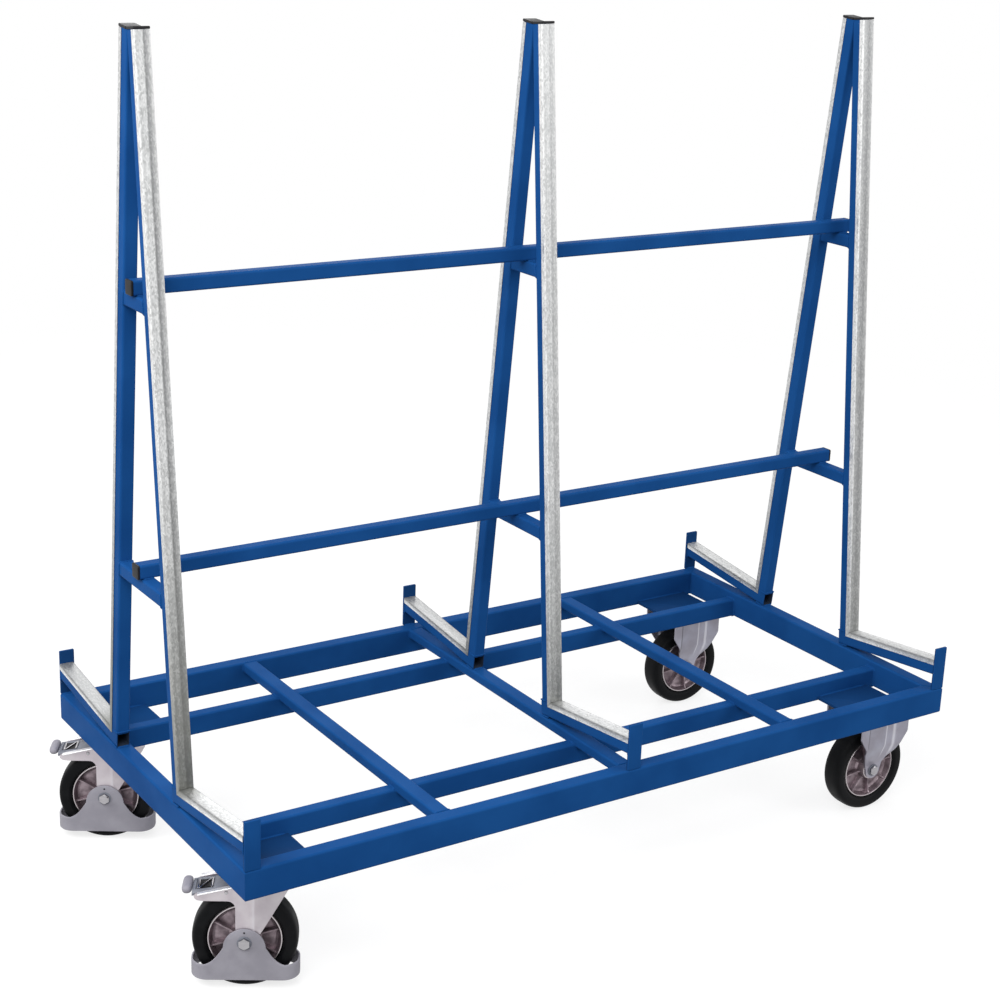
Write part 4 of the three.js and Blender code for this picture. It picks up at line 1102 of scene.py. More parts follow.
def cap_piece(node, shells):
    """A black plastic cap in the place of one solid."""
    piece(f"{node}_head", "cart_frame", black_plastic, shells, [node])


for bar_name, rise in zip(("lower", "upper"), TIE_RISES):
    bar_low = BASE_TOP + rise + TIE + BAR_GAP
    middle = np.array([0.0, 0.0, bar_low + BAR / 2])
    shells = [level_tube(rounded(BAR, BAR, TUBE_CORNER), middle, AXIS_X, BAR_HALF)]
    for frame_x in FRAMES.values():
        for edge in (-1, 1):
            line = np.array([frame_x, edge * (BAR / 2 - BAR_JOINT_INSET), bar_low])
            reach = AXIS_X * BAR_JOINT_HALF
            shells.append(level_bead(line - reach, line + reach, JOINT_BEAD))
    painted(f"{bar_name}_bar", "tube", shells)
    for end_name, end in ENDS.items():
        head = plate(rounded(BAR, BAR, BAR_CAP_CORNER), BAR_CAP_GAP, BAR_CAP, CAP_EDGE)
        head = head.placed(middle + AXIS_X * end * BAR_HALF, AXIS_Y, AXIS_Z, AXIS_X * end)
        cap_piece(f"{bar_name}_bar_{end_name}_cap", [head])

leg_cap = plate(rounded(CAP_WIDTH, CAP_OUTSIDE - CAP_INSIDE, CAP_CORNER), CAP_LOW, CAP_HIGH, CAP_EDGE)
leg_cap = leg_cap.placed(apex + leg_out * (CAP_INSIDE + CAP_OUTSIDE) / 2, AXIS_X, leg_out, leg_up)
for frame_name, frame_x in FRAMES.items():
    for side_name, side in SIDES.items():
        cap_piece(f"{frame_name}_{side_name}_leg_cap", in_frame([leg_cap], frame_x, side))

# %% [markdown]
# ## The wheels
# A cast aluminium rim with eight ribs on each face carries a thick rubber tyre. The rim is a height
# over a polar grid: a hub, a thin web, a lip, and ribs that stand on the web. The angles of the grid
# follow the ribs, so that their sides stay straight and crisp. The tyre's section is a rounded square
# by formula.

# %% Rim
WHEEL_RADIUS = 88.0
RIM_RADIUS = 62.0
RIB_COUNT = 8
RIB_HALF = 1.6
RIB_EDGE = 0.4
RIB_FOOT = 2.9
RIB_GAP = 0.8
RIB_PLACES = (21.0, 30.0, 56.5, 58.5)
RIB_TOPS = (17.0, 13.5, 13.5, 0.0)
WEB_COLUMNS = 6
LAID_ON_Y = (AXIS_X, -AXIS_Z, AXIS_Y)


def rim_lines():
    """Radius and height of the rim's face, from the bore over hub and web to the lip and the wall."""
    hub = [(6.3, 24.2), (19.0, 24.6), (20.4, 23.8), (22.6, 8.0)]
    web = [(27.0, 5.2), (50.0, 4.2), (55.0, 6.0)]
    lip = [(58.8, 16.8), (59.6, 18.0), (61.4, 18.0), (RIM_RADIUS, 17.0)]
    corners = hub + web + lip
    return softened(corners, 1.2, 3)


def rim_face(sign):
    """Height over a polar grid: the turned line, raised to the ribs by a window across each rib."""
    line = rim_lines()
    radius = line[:, 0][:, None]
    base = line[:, 1][:, None]
    near = np.array([0.0, RIB_HALF - RIB_EDGE, RIB_HALF, RIB_FOOT, RIB_FOOT + RIB_GAP])
    spread = np.linspace(0, 1, WEB_COLUMNS)[1:]
    edge = near[-1] / radius
    half = np.pi / RIB_COUNT
    offset = np.concatenate([near[None] / radius, edge + spread[None] * (half - edge)], 1)
    window = np.interp(offset * radius, near[1:4], [1, 0.94, 0])
    rib_top = np.interp(radius, RIB_PLACES, RIB_TOPS)
    height = base + np.maximum(rib_top - base, 0) * window
    offset = np.concatenate([-offset[:, :0:-1], offset[:, :-1]], 1)
    height = np.concatenate([height[:, :0:-1], height[:, :-1]], 1)
    turn = np.arange(RIB_COUNT)[None, :, None] * 2 * half
    angle = (offset[:, None] + turn).reshape(len(line), -1)
    level = np.tile(height, (1, RIB_COUNT))
    reach = np.broadcast_to(radius, angle.shape)
    return np.stack([reach * np.cos(angle), reach * np.sin(angle), sign * level], -1)


def rim():
    """Both faces of the rim in one closed sheet: out over one face and back over the other."""
    points = np.concatenate([rim_face(1), rim_face(-1)[::-1]])
    distance = np.linalg.norm(points[..., :2], axis=-1)
    run = np.stack([distance, points[..., 2], 0 * distance], -1)
    return grid(points, wrap_rows=True, wrap_columns=True, run=run)


LIP_CUT = (59.6, 60.2)
LIP_CUT_HEIGHT = (15.5, 16.7)
HUB_CUT = (20.2, 21.0)
HUB_SHINE = 0.8


def lathe_cut(made):
    """How much of the lathe's bright cut each point has: the lip and the end of the hub."""
    distance, height = runs(made)[:, :2].T
    lip = np.interp(distance, LIP_CUT, (0, 1)) * np.interp(np.abs(height), LIP_CUT_HEIGHT, (0, 1))
    hub = np.interp(distance, HUB_CUT, (1, 0))
    return np.maximum(lip, HUB_SHINE * hub)


# %% Tyre
TYRE_HALF = 22.0
TYRE_SQUARE = 3.6
TYRE_INSIDE = RIM_RADIUS - 0.6
TYRE_NARROW = 0.2
WALL_RING = 69.0
WALL_RING_HALF = 0.9
WALL_RING_HEIGHT = 0.45


def tyre():
    """A rounded square turned into a ring: w = a |cos p|^(2/n), r = c + b |sin p|^(2/n) with their signs,
    with a low moulded ring on each wall. It narrows towards the rim and sits a little way inside it."""
    p = np.linspace(0, 2 * np.pi, 72, endpoint=False)
    power = 2 / TYRE_SQUARE
    width = TYRE_HALF * blunt(np.cos(p), power)
    middle = (TYRE_INSIDE + WHEEL_RADIUS) / 2
    half = (WHEEL_RADIUS - TYRE_INSIDE) / 2
    radius = middle + half * blunt(np.sin(p), power)
    ring = np.exp(-((radius - WALL_RING) / WALL_RING_HALF) ** 2)
    wall = ring * WALL_RING_HEIGHT * np.sign(width)
    narrow = np.where(radius < middle, 1 - TYRE_NARROW * ((middle - radius) / half) ** 2, 1.0)
    return lathe(np.stack([radius, width * narrow + wall], -1), 96, closed=True)


cast_wheel = rim()
wheel_tyre = tyre().placed((0, 0, 0), *LAID_ON_Y)
print("rim points:", len(cast_wheel.points), "tyre points:", len(wheel_tyre.points))

# %% [markdown]
# ## Where the castors stand
# The fixed castors at the right end keep their wheels along the cart. The swivel castors at the left
# end have turned about their upright pins, so each is drawn once about its own pin and then turned
# into place.

# %% Castor places
CASTOR_Y = 299.0
FIXED_X = 659.5
SWIVEL_X = -666.0
HEADING = math.radians(149.2)
TRAIL = 42.0
ROLLED = {"fixed": math.radians(-9.0), "swivel": math.radians(16.0)}


def at_fixed(shells, side):
    return [shell.moved(FIXED_X, side * CASTOR_Y) for shell in shells]


def at_swivel(shells, side):
    return [shell.turned(HEADING).moved(SWIVEL_X, side * CASTOR_Y) for shell in shells]


for side_name, side in SIDES.items():
    for kind, setting, x in (("fixed", at_fixed, 0.0), ("swivel", at_swivel, TRAIL)):
        body = f"{side_name}_{kind}_wheel"
        node = f"{side_name}_{kind}"
        wheel_rim = cast_wheel.turned(ROLLED[kind]).placed((x, 0, WHEEL_RADIUS), *LAID_ON_Y)
        made_rim = setting([wheel_rim], side)
        made_tyre = setting([wheel_tyre.moved(x, 0, WHEEL_RADIUS)], side)
        cast = piece(f"{node}_cast_rim", body, aluminium, made_rim, [f"{node}_rim"])
        mark(cast, "turned", lathe_cut(cast))
        piece(f"{node}_rubber_tyre", body, rubber, made_tyre, [f"{node}_tyre"])

# %% Top plates, bolts and axles
PLATE_LOW = 217.7
PLATE_HIGH = 221.7
PLATE_LENGTH = 122.0
PLATE_WIDTH = 104.0
PLATE_CORNER = 10.0
BOLT_PLACES = [(x, y) for x in (-42.0, 42.0) for y in (-30.0, 30.0)]
BOLT_HEAD = 9.2
BOLT_HEAD_HEIGHT = 6.0
BOLT_RADIUS = 4.9
BOLT_LOW = PLATE_HIGH - 1.0
BOLT_HIGH = PAD_TOP - 0.5
BOLT_EDGE = 0.8
AXLE_RADIUS = 6.0
AXLE_PAST_SEAT = 6.0
AXLE_HEAD = 10.2
AXLE_HEAD_HIGH = 6.6
AXLE_DOME = 1.3
WASHER_RADIUS = 12.2
WASHER_LOW = 0.1
WASHER_HIGH = 1.5


def top_plate():
    """The castor's plate, with bolts from below whose ends stay inside the pad."""
    shells = [plate(rounded(PLATE_LENGTH, PLATE_WIDTH, PLATE_CORNER), PLATE_LOW, PLATE_HIGH)]
    for x, y in BOLT_PLACES:
        head = hexagon(BOLT_HEAD, 0.0, BOLT_HEAD_HEIGHT)
        head = head.placed((x, y, PLATE_LOW + 0.1), AXIS_X, AXIS_Y, -AXIS_Z)
        end = disc(BOLT_RADIUS, BOLT_LOW, BOLT_HIGH, BOLT_EDGE)
        shells += [head, end.moved(x, y)]
    return shells


def rod(radius, low, high):
    """A plain round bar, closed by flat ends."""
    return lathe([(0, low), (radius, low), (radius, high), (0, high)], 32)


def axle(seat):
    """A bolt through both cheeks with a domed head and a nut, and then the two washers under them."""
    bolt = [rod(AXLE_RADIUS, -seat - AXLE_PAST_SEAT, seat + AXLE_PAST_SEAT)]
    washers = []
    for sign in (-1, 1):
        turn = ((0, 0, sign * seat), AXIS_X, AXIS_Y * sign, AXIS_Z * sign)
        bolt.append(hexagon(AXLE_HEAD, WASHER_HIGH, AXLE_HEAD_HIGH, AXLE_DOME).placed(*turn))
        washers.append(collar(AXLE_RADIUS, WASHER_RADIUS, WASHER_LOW, WASHER_HIGH).placed(*turn))
    middle = (0, 0, WHEEL_RADIUS)
    return [[shell.placed(middle, *LAID_ON_Y) for shell in group] for group in (bolt, washers)]


def fit_axle(node, body, seat, setting, side):
    """The axle's bolt as the piece that stands for the axle, and its washers beside it, dark as painted
    shade round the heads.
    """
    bolt, washers = (setting(group, side) for group in axle(seat))
    piece(f"{node}_axle_bolt", body, bolt_zinc, bolt, [f"{node}_axle"])
    # The washers' dark finish is painted shade round the bolt heads.
    piece(f"{node}_axle_washers", body, pedal_steel, washers)


print("a castor plate has", len(top_plate()), "shells")

# %% [markdown]
# ## The fixed brackets
# Each fixed bracket is pressed from one sheet. Its cheeks are narrow and round at the axle, widen and
# splay towards the plate, and step outwards at two creases, so that a sunk panel runs down to the
# axle. A cheek is a height over a grid of widths and levels, once for each side of the sheet.

# %% Fixed brackets
CHEEK_INSIDE = 25.0
CHEEK_SHEET = 3.5
CHEEK_TOP = 130.0
CHEEK_TOE = 18.0
LEVELS = np.array([-CHEEK_TOE, 0.0, 14.0, 60.0, 84.0, CHEEK_TOP])
LEVEL_HALF = np.array([0.0, CHEEK_TOE, 22.0, 44.0, 60.0, 60.0])
LEVEL_SPLAY = np.array([0.0, 0.0, 0.0, 19.0, 20.0, 20.0])
STEP_PLACES = np.array([-60.0, -41.0, -37.0, 7.0, 23.0, 29.0, 60.0])
STEP_HEIGHTS = np.array([3.0, 3.0, 0.0, 0.0, 1.6, 6.0, 6.0])
STEP_SPAN = (26.0, 46.0)
CREASE_SPREAD = 3.0
PANEL_PLACES = (-20.0, 0.0)
# Painted shade and painted highlights across a bracket's cheek.
BRACKET_SHADE_PLACES = np.array([-60.0, -42.0, -40.0, -38.0, -35.0, 6.0, 10.0, 22.0, 30.0, 33.0, 60.0])
BRACKET_SHADE_SHARE = np.array([0.05, 0.05, 0.75, 0.75, 0.18, 0.18, 0.04, 0.04, 0.0, 0.2, 0.24])
BRACKET_HIGHLIGHT_PLACES = np.array([6.0, 8.0, 10.0, 22.5, 24.5, 26.5, 28.5])
BRACKET_HIGHLIGHT_SHARE = np.array([0.0, 0.5, 0.0, 0.0, 0.45, 0.45, 0.0])


def eased(at, places, values, blur=3.0):
    """A broken line with its corners rounded: the mean of the line at points up to a blur away."""
    shift = np.linspace(-blur, blur, 9)
    return np.mean(np.interp(at[:, None] + shift, places, values), axis=1)


def bracket_cheek():
    """One cheek as a closed sheet, with points gathered at the creases."""
    below = -CHEEK_TOE * np.cos(np.linspace(0, np.pi / 2, 13))
    rise = np.concatenate([below, np.linspace(1.5, CHEEK_TOP, 60)])
    toe = half_chord(CHEEK_TOE, rise)
    half = np.where(rise < 0, toe, eased(rise, LEVELS, LEVEL_HALF))[:, None]
    splay = eased(rise, LEVELS, LEVEL_SPLAY)[:, None]
    near = np.linspace(-CREASE_SPREAD, CREASE_SPREAD, 7)
    at_creases = (STEP_PLACES[1:-1, None] + near).ravel()
    wide = np.unique(np.round([*at_creases, *PANEL_PLACES], 1))[None]
    x = np.concatenate([-half, np.clip(wide, -half, half), half], 1)
    fade = np.interp(rise[:, None], STEP_SPAN, (0, 1))
    proud = fade * eased(x.ravel(), STEP_PLACES, STEP_HEIGHTS, 1.0).reshape(x.shape)
    inside = CHEEK_INSIDE + splay + proud
    z = np.broadcast_to(WHEEL_RADIUS + rise[:, None], x.shape)
    outer = np.stack([x, -(inside + CHEEK_SHEET), z], -1)
    return closed_sheet(outer, np.stack([x, -inside, z], -1))


def mark_creases(made):
    """Painted shade in the sunk panel and its left crease, a painted highlight on the right crease, none
    near the axle.
    """
    x, _, z = runs(made).T
    fade = np.interp(z - WHEEL_RADIUS, STEP_SPAN, (0, 1))
    mark(made, "painted_shade", fade * np.interp(x, BRACKET_SHADE_PLACES, BRACKET_SHADE_SHARE))
    mark(made, "bright", fade * np.interp(x, BRACKET_HIGHLIGHT_PLACES, BRACKET_HIGHLIGHT_SHARE))


cheek = bracket_cheek()
for side_name, side in SIDES.items():
    node = f"{side_name}_fixed"
    shells = at_fixed([*top_plate(), cheek, cheek.turned(math.pi)], side)
    name = f"{node}_pressed_bracket"
    pressed = piece(name, "cart_frame", bracket_zinc, shells, [f"{node}_bracket"])
    mark_creases(pressed)
    fit_axle(node, "cart_frame", CHEEK_INSIDE + CHEEK_SHEET, at_fixed, side)

# %% [markdown]
# ## The swivel heads and forks
# A swivel head is a plate with a ball race and a kingpin under it, all turned parts. The fork hangs
# from the race: a crown, two pressed cheeks that narrow to the axle, and two arms that hold the brake
# pedal. A cheek has one span from front to back at every height, so rows of points between two edges
# describe it.

# %% Swivel heads
RACE_LOW = 201.1
NUT_LOW = 184.0
NUT_HIGH = NUT_LOW + 8.0
NUT_RADIUS = 12.0
PIN_RADIUS = 7.0


def swivel_head():
    """Plate, two stacked race rings with a groove between them, and the kingpin with its nut."""
    line = [(0.0, 0.0), (37.0, 0.0), (38.0, 1.0), (38.0, 6.4), (36.4, 7.4), (36.4, 8.4), (37.4, 9.2),
            (33.0, 15.0), (31.0, 16.8), (0.0, 16.8)]
    race = lathe(softened(line, 0.8, 3)).moved(z=RACE_LOW)
    pin = rod(PIN_RADIUS, NUT_LOW + 2, RACE_LOW + 1)
    return [*top_plate(), race, pin, hexagon(NUT_RADIUS, NUT_LOW, NUT_HIGH)]


for side_name, side in SIDES.items():
    shells = [shell.moved(SWIVEL_X, side * CASTOR_Y) for shell in swivel_head()]
    node = f"{side_name}_swivel_head"
    piece(f"{node}_turned", "cart_frame", zinc, shells, [node])

# %% Forks
CROWN_LOW = 192.3
CROWN_HIGH = 200.8
CROWN_RADIUS = 40.0
CROWN_CHAMFER = 3.0
BRIDGE_SPAN = (-35.0, 54.0)
BRIDGE_HIGH = CROWN_LOW + 5.5
FORK_TOP = CROWN_LOW + 1.0
TOE = 16.0
FORK_BACK = 56.5
FORK_CREASE = 26.0
FORK_CREASE_HALF = 2.4
FORK_RECESS = 2.2
FORK_FADE = (98.0, 112.0)
# Painted shade in front of the fork's crease and a painted highlight along it.
FORK_SHADE = 0.16
FORK_HIGHLIGHT = 0.25
ARM_BOTTOM = 163.0
ARM_FILLET = 13.0
BEND = ARM_BOTTOM - ARM_FILLET
ARM_TIP = 179.0
ARM_LEVELS = np.array([ARM_BOTTOM, 163.6, 165.0, 168.0, 171.5, 174.5, 177.0, ARM_TIP, FORK_TOP])
ARM_REACH = np.array([109.0, 115.5, 119.8, 122.8, 123.8, 122.4, 118.0, 112.0, 54.0])
LIP_WIDTH = 9.0
LIP_SHEET = 2.6
LIP_ENDS = np.array([(117.0, 0.0, 177.6), (58.0, 0.0, 192.0)])
FRONT_LEVELS = np.array([WHEEL_RADIUS, WHEEL_RADIUS + 24.0, FORK_TOP])
FRONT_REACH = np.array([TRAIL - TOE, 10.0, -35.0])


def fork_edges(z):
    """Front and back edge of a cheek at each height: a round toe at the axle, a slanting front,
    an upright back with a fillet, and the pedal arm above it."""
    toe = half_chord(TOE, z - WHEEL_RADIUS)
    front = np.where(z < WHEEL_RADIUS, TRAIL - toe, np.interp(z, FRONT_LEVELS, FRONT_REACH))
    above = np.clip(z - BEND, 0, ARM_FILLET)
    fillet = ARM_FILLET - half_chord(ARM_FILLET, above)
    back = np.where(z < WHEEL_RADIUS, np.minimum(TRAIL + toe, FORK_BACK), FORK_BACK + fillet)
    back = np.where(z > ARM_BOTTOM, np.interp(z, ARM_LEVELS, ARM_REACH), back)
    return front[:, None], back[:, None]


def fork_cheek():
    """A closed sheet between both edges, with its front part pressed in behind an upright crease."""
    toe = WHEEL_RADIUS - TOE * np.cos(np.linspace(0, np.pi / 2, 12))
    neck = np.linspace(WHEEL_RADIUS + 3, BEND - 1, 24)
    bend = BEND + ARM_FILLET * np.sin(np.linspace(0, np.pi / 2, 8))
    tip = np.concatenate([[ARM_BOTTOM + 0.02], np.linspace(ARM_BOTTOM + 0.3, ARM_TIP, 22)])
    shoulder = np.linspace(ARM_TIP + 1, FORK_TOP, 10)
    z = np.concatenate([toe, neck, bend, tip, shoulder])
    front, back = fork_edges(z)
    steps = np.array([-8, -3, -2, -1, -0.4, 0.4, 1, 2, 3, 8])
    at_crease = FORK_CREASE + steps * 0.9
    span = np.concatenate([np.linspace(-34, 16, 8), at_crease, np.linspace(40, 122, 10)])
    x = np.clip(span[None], front, back)
    x = np.concatenate([front, x, back], 1)
    grade = smooth_step((FORK_CREASE + FORK_CREASE_HALF - x) / (2 * FORK_CREASE_HALF))
    recess = FORK_RECESS * np.interp(z[:, None], FORK_FADE, (0, 1)) * grade
    level = np.broadcast_to(z[:, None], x.shape)
    outer = np.stack([x, -(CHEEK_INSIDE + CHEEK_SHEET - recess), level], -1)
    return closed_sheet(outer, np.stack([x, np.full_like(x, -CHEEK_INSIDE), level], -1))


def mark_fork(made):
    """Painted shade in front of the crease and a painted highlight along it, fading out towards the toe.
    """
    x, _, z = runs(made).T
    fade = np.interp(z, FORK_FADE, (0, 1))
    mark(made, "painted_shade", fade * np.interp(x, [FORK_CREASE - 3, FORK_CREASE - 1], [FORK_SHADE, 0]))
    across = FORK_CREASE + np.array([-1.0, 0.5, 2.0, 3.5])
    mark(made, "bright", fade * np.interp(x, across, [0, FORK_HIGHLIGHT, FORK_HIGHLIGHT, 0]))


def arm_lip():
    """The turned-out upper edge of an arm: a rounded strip carried along the arm's slope."""
    start, end = LIP_ENDS
    along = (end - start) / np.linalg.norm(end - start)
    section = rounded(LIP_WIDTH, LIP_SHEET, LIP_SHEET / 2 - 0.1, 3, 0.3)
    middle = start - AXIS_Y * (CHEEK_INSIDE + CHEEK_SHEET + LIP_WIDTH / 2 - 1.0)
    planes = [(start, along), (end, along)]
    return carried(section, middle, AXIS_Y, np.cross(along, AXIS_Y), along, planes)


def both_sides(near):
    """A shell and its mirror image across the wheel."""
    return [near, near.changed(near.points * np.array([1.0, -1.0, 1.0]))]


def fork():
    """Two cheeks, the bridge between them and the round crown over it."""
    reach = CHEEK_INSIDE + CHEEK_SHEET
    bridge = plate(oblong(*BRIDGE_SPAN, -reach, reach, 4.0), CROWN_LOW, BRIDGE_HIGH, 1.6)
    slope = CROWN_RADIUS - CROWN_CHAMFER
    line = [(0, CROWN_LOW), (CROWN_RADIUS, CROWN_LOW), (CROWN_RADIUS, CROWN_HIGH - CROWN_CHAMFER),
            (slope, CROWN_HIGH), (0, CROWN_HIGH)]
    return [*both_sides(fork_cheek()), bridge, lathe(softened(line, 1.2))]


for side_name, side in SIDES.items():
    node = f"{side_name}_swivel"
    shells = at_swivel(fork(), side)
    pressed = piece(f"{node}_pressed_fork", node, zinc, shells, [f"{node}_fork"])
    mark_fork(pressed)
    lips = at_swivel(both_sides(arm_lip()), side)
    # The lips wear the whiter zinc as a painted highlight.
    piece(f"{node}_fork_lips", node, lip_highlight_zinc, lips)

# %% [markdown]
# ## The foot guards
# A grey plastic guard clips round each swivel wheel and keeps toes away from it. In plan it is an
# oblong belt, and on both sides its wall rises in a bell shape to the axle. The wall is one closed
# sheet: its plan line gives the place, and the height of its upper edge changes along that line.

# %% Foot guards
GUARD_OUTER = 31.8
GUARD_WALL = 3.0
GUARD_HALF = 90.0
GUARD_CORNER = 28.0
GUARD_LOW = 18.0
BELT_HIGH = 46.0
DOME = 35.0
DOME_Z = 78.0
FLANK = 70.0
PIN_RISE = 18.5
PIN_END = 1.7
FLANK_CONTROLS = np.array([(FLANK, BELT_HIGH), (52.5, BELT_HIGH + 1), (42.0, 67.3), (DOME, DOME_Z)])


def bell_edge():
    """Distance from the axle and height along the bell: a flank on the curve (1-t)^3 a + 3t(1-t)^2 b
    + 3t^2(1-t) c + t^3 d, then a quarter of the round dome."""
    t = np.linspace(0, 1, 40)[:, None]
    a, b, c, d = FLANK_CONTROLS
    flank = (1 - t) ** 3 * a + 3 * t * (1 - t) ** 2 * b + 3 * t ** 2 * (1 - t) * c + t ** 3 * d
    dome = arc((0, DOME_Z), DOME, 0, 90, 16)
    line = np.concatenate([flank, dome[1:]])
    return line[line[:, 0] <= GUARD_HALF - GUARD_CORNER]


def guard_plan():
    """The belt's plan line with its inward direction and the height of its upper edge."""
    bell = bell_edge()
    along = np.concatenate([bell[:-1], bell[::-1] * np.array([-1.0, 1.0])])
    straight = np.stack([along[:, 0], np.full(len(along), GUARD_OUTER)], -1)
    inward = np.broadcast_to([0.0, -1.0], straight.shape)
    middle_x = GUARD_HALF - GUARD_CORNER
    middle_y = GUARD_OUTER - GUARD_CORNER
    left = arc((-middle_x, middle_y), GUARD_CORNER, 90, 180, 10)[1:]
    left_in = (np.array([-middle_x, middle_y]) - left) / GUARD_CORNER
    right = arc((-middle_x, -middle_y), GUARD_CORNER, 180, 270, 10)[:-1]
    right_in = (np.array([-middle_x, -middle_y]) - right) / GUARD_CORNER
    half = np.concatenate([straight, left, right])
    half_in = np.concatenate([inward, left_in, right_in])
    high = np.concatenate([along[:, 1], np.full(len(left) + len(right), BELT_HIGH)])
    return np.concatenate([half, -half]), np.concatenate([half_in, -half_in]), np.tile(high, 2)


def guard():
    """A closed section carried round the plan: up the outer wall, over the rim and down the inside. Each
    row tells how far in it lies, its share of the height, and a lift for the round edges."""
    plan, inward, high = guard_plan()
    wall = GUARD_WALL
    rows = np.array([(0.7, 0, 0), (0, 0, 0.8), (0, 0.3, 0), (0, 0.6, 0), (0, 0.85, 0), (0, 1, -0.9),
                     (0.3, 1, -0.25), (0.9, 1, 0), (wall - 0.9, 1, 0), (wall - 0.3, 1, -0.25),
                     (wall, 1, -0.9), (wall, 0.5, 0), (wall, 0, 0.8), (wall - 0.7, 0, 0)])
    inset, share, lift = (column[:, None] for column in rows.T)
    x = plan[None, :, 0] + inset * inward[None, :, 0]
    y = plan[None, :, 1] + inset * inward[None, :, 1]
    z = GUARD_LOW + share * (high[None] - GUARD_LOW) + lift
    return grid(np.stack([x + TRAIL, y, z], -1), wrap_rows=True, wrap_columns=True)


def guard_pins():
    """A small dark pin end in the guard above the axle, on both sides."""
    pin = disc(PIN_END, GUARD_OUTER - 1.0, GUARD_OUTER + 0.3, 0.2, 20)
    return both_sides(pin.placed((TRAIL, 0, WHEEL_RADIUS + PIN_RISE), AXIS_X, AXIS_Z, -AXIS_Y))


def at_trail(shells, side):
    return at_swivel([shell.moved(TRAIL) for shell in shells], side)


for side_name, side in SIDES.items():
    node = f"{side_name}_swivel"
    pins = at_swivel(guard_pins(), side)
    piece(f"{node}_guard_pins", node, black_plastic, pins)
    shells = at_swivel([guard()], side)
    piece(f"{node}_foot_guard", node, grey_plastic, shells, [f"{node}_guard"])
    fit_axle(node, node, GUARD_OUTER, at_trail, side)

# %% [markdown]
# ## The brake pedals
# A sprung pedal between the fork's arms locks wheel and swivel. It is a pressed plate with a dark
# sunk window, crossed by bright ribs for the shoe. It hangs on a riveted pin, and its end carries a
# soft grey pad. The plate is a height over a grid, once for the top and once for the underside.

# %% Pedals
PIVOT_X = 71.0
PIVOT_Z = 178.5
PEDAL_START = 54.0
PEDAL_END = 127.5
PEDAL_HALF = 24.4
PEDAL_SLOPE = math.tan(math.radians(8.5))
PEDAL_RISE = 8.0
PEDAL_SHEET = 3.8
ROLL_START = 19.0
ROLL_DEPTH = 4.0
WINDOW_LENGTH = (92.0, 122.5)
WINDOW_HALF = 18.0
WINDOW_DEPTH = 2.4
WINDOW_EDGE = 2.0
WINDOW_FLOOR = (23.0, 49.0)
WINDOW_FLOOR_HALF = 15.8
WINDOW_FLOOR_SPAN = (-2.6, -1.9)
RIBS = ((25.0, 0.0), (36.0, 9.5), (47.0, 0.0))
RIB_WIDTH_HALF = 1.5
RIB_REACH = 15.5
RIB_SPAN = (-2.6, 0.4)
GRIP_LENGTH = 17.0
GRIP_HALF = 7.4
GRIP_REACH = 23.0
GRIP_GAP = 0.3
GRIP_DROP = 0.5
GRIP_SQUARE = 0.85


def pedal_top(x):
    return PIVOT_Z + PEDAL_RISE - (x - PIVOT_X) * PEDAL_SLOPE


def pedal_plate():
    """Height over length and width: a sloping plate, its sides rolled down and a recess in it."""
    x = np.linspace(PEDAL_START, PEDAL_END, 73)[:, None]
    y = np.linspace(-PEDAL_HALF, PEDAL_HALF, 56)[None]
    start, end = WINDOW_LENGTH
    along = smooth_step((x - start) / WINDOW_EDGE) * smooth_step((end - x) / WINDOW_EDGE)
    recess = along * smooth_step((WINDOW_HALF - np.abs(y)) / WINDOW_EDGE)
    roll = ROLL_DEPTH * np.clip((np.abs(y) - ROLL_START) / (PEDAL_HALF - ROLL_START), 0, 1) ** 2
    upper = np.stack(np.broadcast_arrays(x, y, pedal_top(x) - WINDOW_DEPTH * recess - roll), -1)
    lower = np.stack(np.broadcast_arrays(x, y, pedal_top(x) - PEDAL_SHEET - roll), -1)
    return closed_sheet(upper, lower)


def pedal_pin():
    """A pin through the fork's arms with a low round head at both ends."""
    reach = CHEEK_INSIDE + CHEEK_SHEET + 0.2
    half = [(2.6, reach), (3.4, reach), (3.0, reach + 1.2), (1.8, reach + 1.8), (0.0, reach + 2.0)]
    line = [(r, -h) for r, h in half[::-1]] + half
    return lathe(line, 32).placed((PIVOT_X, 0, PIVOT_Z), *LAID_ON_Y)


def on_slope(outline, low, high):
    """A small plate that lies on the pedal's slope."""
    along = np.array([1.0, 0.0, -PEDAL_SLOPE]) / math.hypot(1.0, PEDAL_SLOPE)
    origin = np.array([PIVOT_X, 0.0, pedal_top(PIVOT_X)])
    return plate(outline, low, high, 0.3).placed(origin, along, AXIS_Y, np.cross(along, AXIS_Y))


def pedal_ribs():
    """Bars across the window: two straight ones at its ends and a slanting one between them."""
    bars = []
    half = RIB_WIDTH_HALF
    for middle, slant in RIBS:
        near = middle - slant
        far = middle + slant
        corners = [(near - half, -RIB_REACH), (near + half, -RIB_REACH),
                   (far + half, RIB_REACH), (far - half, RIB_REACH)]
        bars.append(on_slope(softened(corners, 0.8, closed=True), *RIB_SPAN))
    return bars


def pedal_window():
    """The dark floor of the window."""
    outline = oblong(*WINDOW_FLOOR, -WINDOW_FLOOR_HALF, WINDOW_FLOOR_HALF, 1.0)
    return on_slope(outline, *WINDOW_FLOOR_SPAN)


